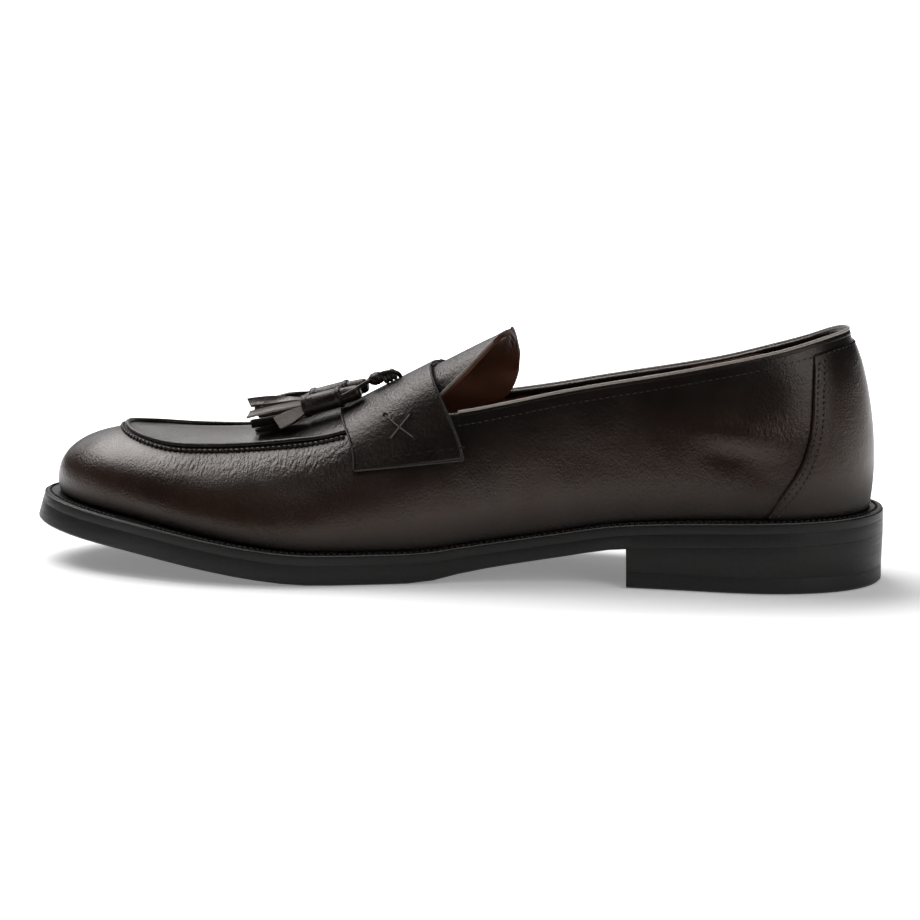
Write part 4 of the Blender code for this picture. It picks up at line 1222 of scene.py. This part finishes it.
def make_lace(finishes):
    """Lace from both hoods to the knot, the coil behind it and the end laced into the strap."""
    finish = finishes["strap"]
    parts = [make_bead(finish)]
    for step in KNOT_WRAPS:
        shrink = KNOT_SINK * math.sqrt(1 - (step / KNOT_SIZE[0]) ** 2)
        width, height = KNOT_SIZE[1] * shrink, KNOT_SIZE[2] * shrink
        ring = ring_round(KNOT_CENTRE, -KNOT_RISE, KNOT_WRAP_LEAN, step, width, height)
        parts.append(cord_along("knot_wrap", ring, KNOT_CORD, finish, closed=True))
    for step in COIL_STEPS:
        ring = ring_round(COIL_CENTRE, -COIL_RISE, 0.0, step, COIL_RADIUS, COIL_RADIUS)
        parts.append(cord_along("coil_wrap", ring, COIL_CORD, finishes["fringe"], closed=True))
    for line in (NEAR_LACE, FAR_LACE, ARCH):
        points = smooth_line([spot(*place) for place in line], LACE_STEP)
        parts.append(cord_along("lace", points, LACE_RADIUS, finish))
    settle(joined("lace_and_knot", parts), "leather_dark", "tassel_lace")


def close_gap_above(piece):
    """Raise a layer's top face to meet the layer over it."""
    points = points_of(piece)
    _, normals = face_values(piece)
    lifted = set()
    for polygon, normal in zip(piece.data.polygons, normals):
        if normal[2] > LEVEL_FACE:
            lifted.update(polygon.vertices)
    points[sorted(lifted), 2] += LAYER_GAP / 1000.0
    store_points(piece, points)


def square_over_heel(piece):
    """Bring the outsole's lower edge out flush with the heel stack below it."""
    points = points_of(piece)
    centres, normals = face_values(piece)
    under = set()
    for polygon, centre, normal in zip(piece.data.polygons, centres, normals):
        if normal[2] < -LEVEL_FACE and HALF_LENGTH - centre[0] * 1000.0 < HEEL_BREAST:
            under.update(polygon.vertices)
    others = np.array([number for number in range(len(points)) if number not in under])
    for number in sorted(under):
        apart = np.linalg.norm(points[others] - points[number], axis=1)
        if apart.min() < EDGE_STEP / 1000.0:
            points[number, :2] = points[others[apart.argmin()], :2]
    store_points(piece, points)


def sole_piece(node, name, finish, slot, rounding, raised=True):
    piece = copy_of(node, name, False)
    if node == "outsole":
        square_over_heel(piece)
    if raised:
        close_gap_above(piece)
    ease = piece.modifiers.new("eased_edges", "BEVEL")
    ease.width = rounding / 1000.0
    ease.segments = EASE_SEGMENTS
    ease.limit_method = "ANGLE"
    ease.angle_limit = math.radians(EASE_ANGLE)
    apply_modifiers(piece)
    choose(piece)
    bpy.ops.object.shade_smooth_by_angle(angle=math.radians(SOLE_SMOOTH))
    piece.data.materials.append(finish)
    settle(piece, slot, node)
    return piece


def welt_ring(welt):
    """Middle of the welt's top face, in order round the shoe."""
    centres, normals = face_values(welt)
    left = [Vector(centre) for centre in centres[normals[:, 2] > WELT_LEVEL]]
    ring = [left.pop()]
    while left:
        nearest = min(range(len(left)), key=lambda i: (left[i] - ring[-1]).length)
        if (left[nearest] - ring[-1]).length > WELT_BREAK:
            break
        ring.append(left.pop(nearest))
    return ring


def make_welt_stitches(welt, finishes):
    """Stitches along the welt's top and a pale line along its rim, a painted highlight."""
    tree = tree_of(welt)
    guide = copy_of("welt", "welt_guide", True)
    ring = smooth_line(welt_ring(guide), WELT_STEP)
    bpy.data.objects.remove(guide, do_unlink=True)
    beyond, below = WELT_CAST
    line, rim = [], []
    for here, out in zip(ring[1:-1], outward_of(ring, Vector())):
        edge = cast(tree, Vector(here) - UP * below + out * beyond, -out, 0.0)
        if edge is None:
            continue
        for inset, lift, places in ((WELT_STITCH_IN, WELT_STITCH_LIFT, line), (WELT_RIM_IN, 0.0, rim)):
            top = cast(tree, edge - out * inset / 1000.0 + UP * CAST_FROM, -UP, lift)
            if top is not None:
                places.append(top)
    # Pale line along the welt's rim: a painted highlight
    highlight_line = smooth_line(rim, WELT_RIM_STEP)
    settle(cord_along("welt_rim_painted_highlight", highlight_line, WELT_RIM_LINE, finishes["welt_rim"]), "sole_edge")
    settle(stitch_row("welt_stitches", line, WELT_STITCH, finishes["welt_thread"]), "sole_edge")


def make_sole(finishes):
    welt = sole_piece("welt", "welt_edge", finishes["sole"], "sole_edge", EDGE_EASE, raised=False)
    sole_piece("outsole", "outsole_edge", finishes["sole"], "sole_edge", EDGE_EASE)
    sole_piece("heel_stack", "heel_stack_edge", finishes["sole"], "sole_edge", EDGE_EASE)
    sole_piece("heel_top_lift", "heel_lift_rubber", finishes["rubber"], "heel_rubber", EDGE_EASE)
    sole_piece("insole", "insole_sock", finishes["lining"], "lining", INSOLE_EASE, raised=False)
    make_welt_stitches(welt, finishes)


def make_finishes():
    finishes = {}
    for make, table in ((leather, LEATHERS), (plain_stuff, PLAIN_STUFFS), (waxed_edge, WAXED_EDGES)):
        finishes.update({name: make(*values) for name, values in table.items()})
    return finishes


def floor_part(name, front, back, material):
    """Level sheet of the floor from one line across the scene to another."""
    bpy.ops.object.select_all(action="DESELECT")
    bpy.ops.mesh.primitive_plane_add(size=1.0)
    part = bpy.context.object
    part.name = name
    bpy.ops.object.mode_set(mode="EDIT")
    bpy.ops.transform.resize(value=(2 * FLOOR_REACH, back - front, 1.0), center_override=(0, 0, 0))
    bpy.ops.transform.translate(value=(0.0, (front + back) / 2, -FLOOR_DROP))
    bpy.ops.object.mode_set(mode="OBJECT")
    part.data.materials.append(material)
    return part


def floor_stuff(name):
    material, nodes, links, shader = new_material(name, FLOOR_WHITE, FLOOR_ROUGH)
    shader.inputs["Specular IOR Level"].default_value = FLOOR_SPECULAR
    shader.inputs["Emission Color"].default_value = WHITE
    shader.inputs["Emission Strength"].default_value = SWEEP_GLOW
    return material, nodes, links, shader


def make_floor():
    """Glowing floor round the shoe, and plain sheets behind and before it."""
    near, nodes, links, shader = floor_stuff("pale_floor")
    distance = nodes.new("ShaderNodeVectorMath")
    distance.operation = "LENGTH"
    links.new(object_coordinates(nodes, links, GLOW_OVAL), distance.inputs[0])
    glow = spread(nodes, links, distance.outputs["Value"], *FLOOR_GLOW)
    links.new(glow, shader.inputs["Emission Strength"])
    sweep = floor_stuff("pale_sweep")[0]
    floor_part("floor", FLOOR_FRONT, FLOOR_BACK, near)
    floor_part("floor_behind", FLOOR_BACK, FLOOR_REACH, sweep)
    before = floor_part("floor_before", -FLOOR_REACH, FLOOR_FRONT, sweep)
    before.visible_glossy = False
    before.visible_diffuse = False


def make_lights():
    for name, (place, aim, width, depth, power) in SOFTBOXES.items():
        lamp = bpy.data.lights.new(name, "AREA")
        lamp.shape = "RECTANGLE"
        lamp.size = width
        lamp.size_y = depth
        lamp.energy = power
        box = bpy.data.objects.new(name, lamp)
        bpy.context.scene.collection.objects.link(box)
        box.visible_camera = False
        box.location = place
        box.rotation_euler = (Vector(aim) - Vector(place)).to_track_quat("-Z", "Y").to_euler()
    world = bpy.data.worlds.new("studio")
    world.use_nodes = True
    nodes = world.node_tree.nodes
    links = world.node_tree.links
    ray = nodes.new("ShaderNodeLightPath")
    strength = spread(nodes, links, ray.outputs["Is Camera Ray"], 0.0, 1.0, WORLD_LIGHT, 1.0)
    links.new(strength, nodes["Background"].inputs["Strength"])
    nodes["Background"].inputs["Color"].default_value = WHITE
    bpy.context.scene.world = world
    bpy.context.scene.view_settings.view_transform = "Standard"


def make_camera():
    azimuth = math.radians(CAMERA_AZIMUTH)
    elevation = math.radians(CAMERA_ELEVATION)
    level = math.cos(elevation)
    back = Vector((math.sin(azimuth) * level, -math.cos(azimuth) * level, math.sin(elevation)))
    lens = bpy.data.cameras.new("photo_camera")
    lens.sensor_width = SENSOR
    lens.lens = FOCAL_PIXELS / IMAGE_SIDE * SENSOR
    lens.clip_end = VIEW_REACH
    camera = bpy.data.objects.new("photo_camera", lens)
    bpy.context.scene.collection.objects.link(camera)
    camera.location = Vector(CAMERA_TARGET) + back * CAMERA_DISTANCE
    camera.rotation_euler = (-back).to_track_quat("-Z", "Y").to_euler()
    bpy.context.scene.camera = camera


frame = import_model()
finishes = make_finishes()
make_camera()
make_lights()
make_floor()
make_sole(finishes)
upper_tree, rim = make_upper(finishes)
counter_tree = make_counter(finishes)
collar_ways = outward_of(rim, spot(COLLAR_MIDDLE, 0.0, 0.0))
make_collar_stitches((counter_tree, upper_tree), rim, collar_ways, finishes)
make_rim_bead(rim, collar_ways, finishes)
make_tongue(finishes)
make_strap(finishes)
make_tassel("near_tassel", NEAR_NECK, NEAR_MOUTH, 1.0, upper_tree, finishes)
make_tassel("far_tassel", FAR_NECK, FAR_MOUTH, -1.0, upper_tree, finishes)
make_lace(finishes)
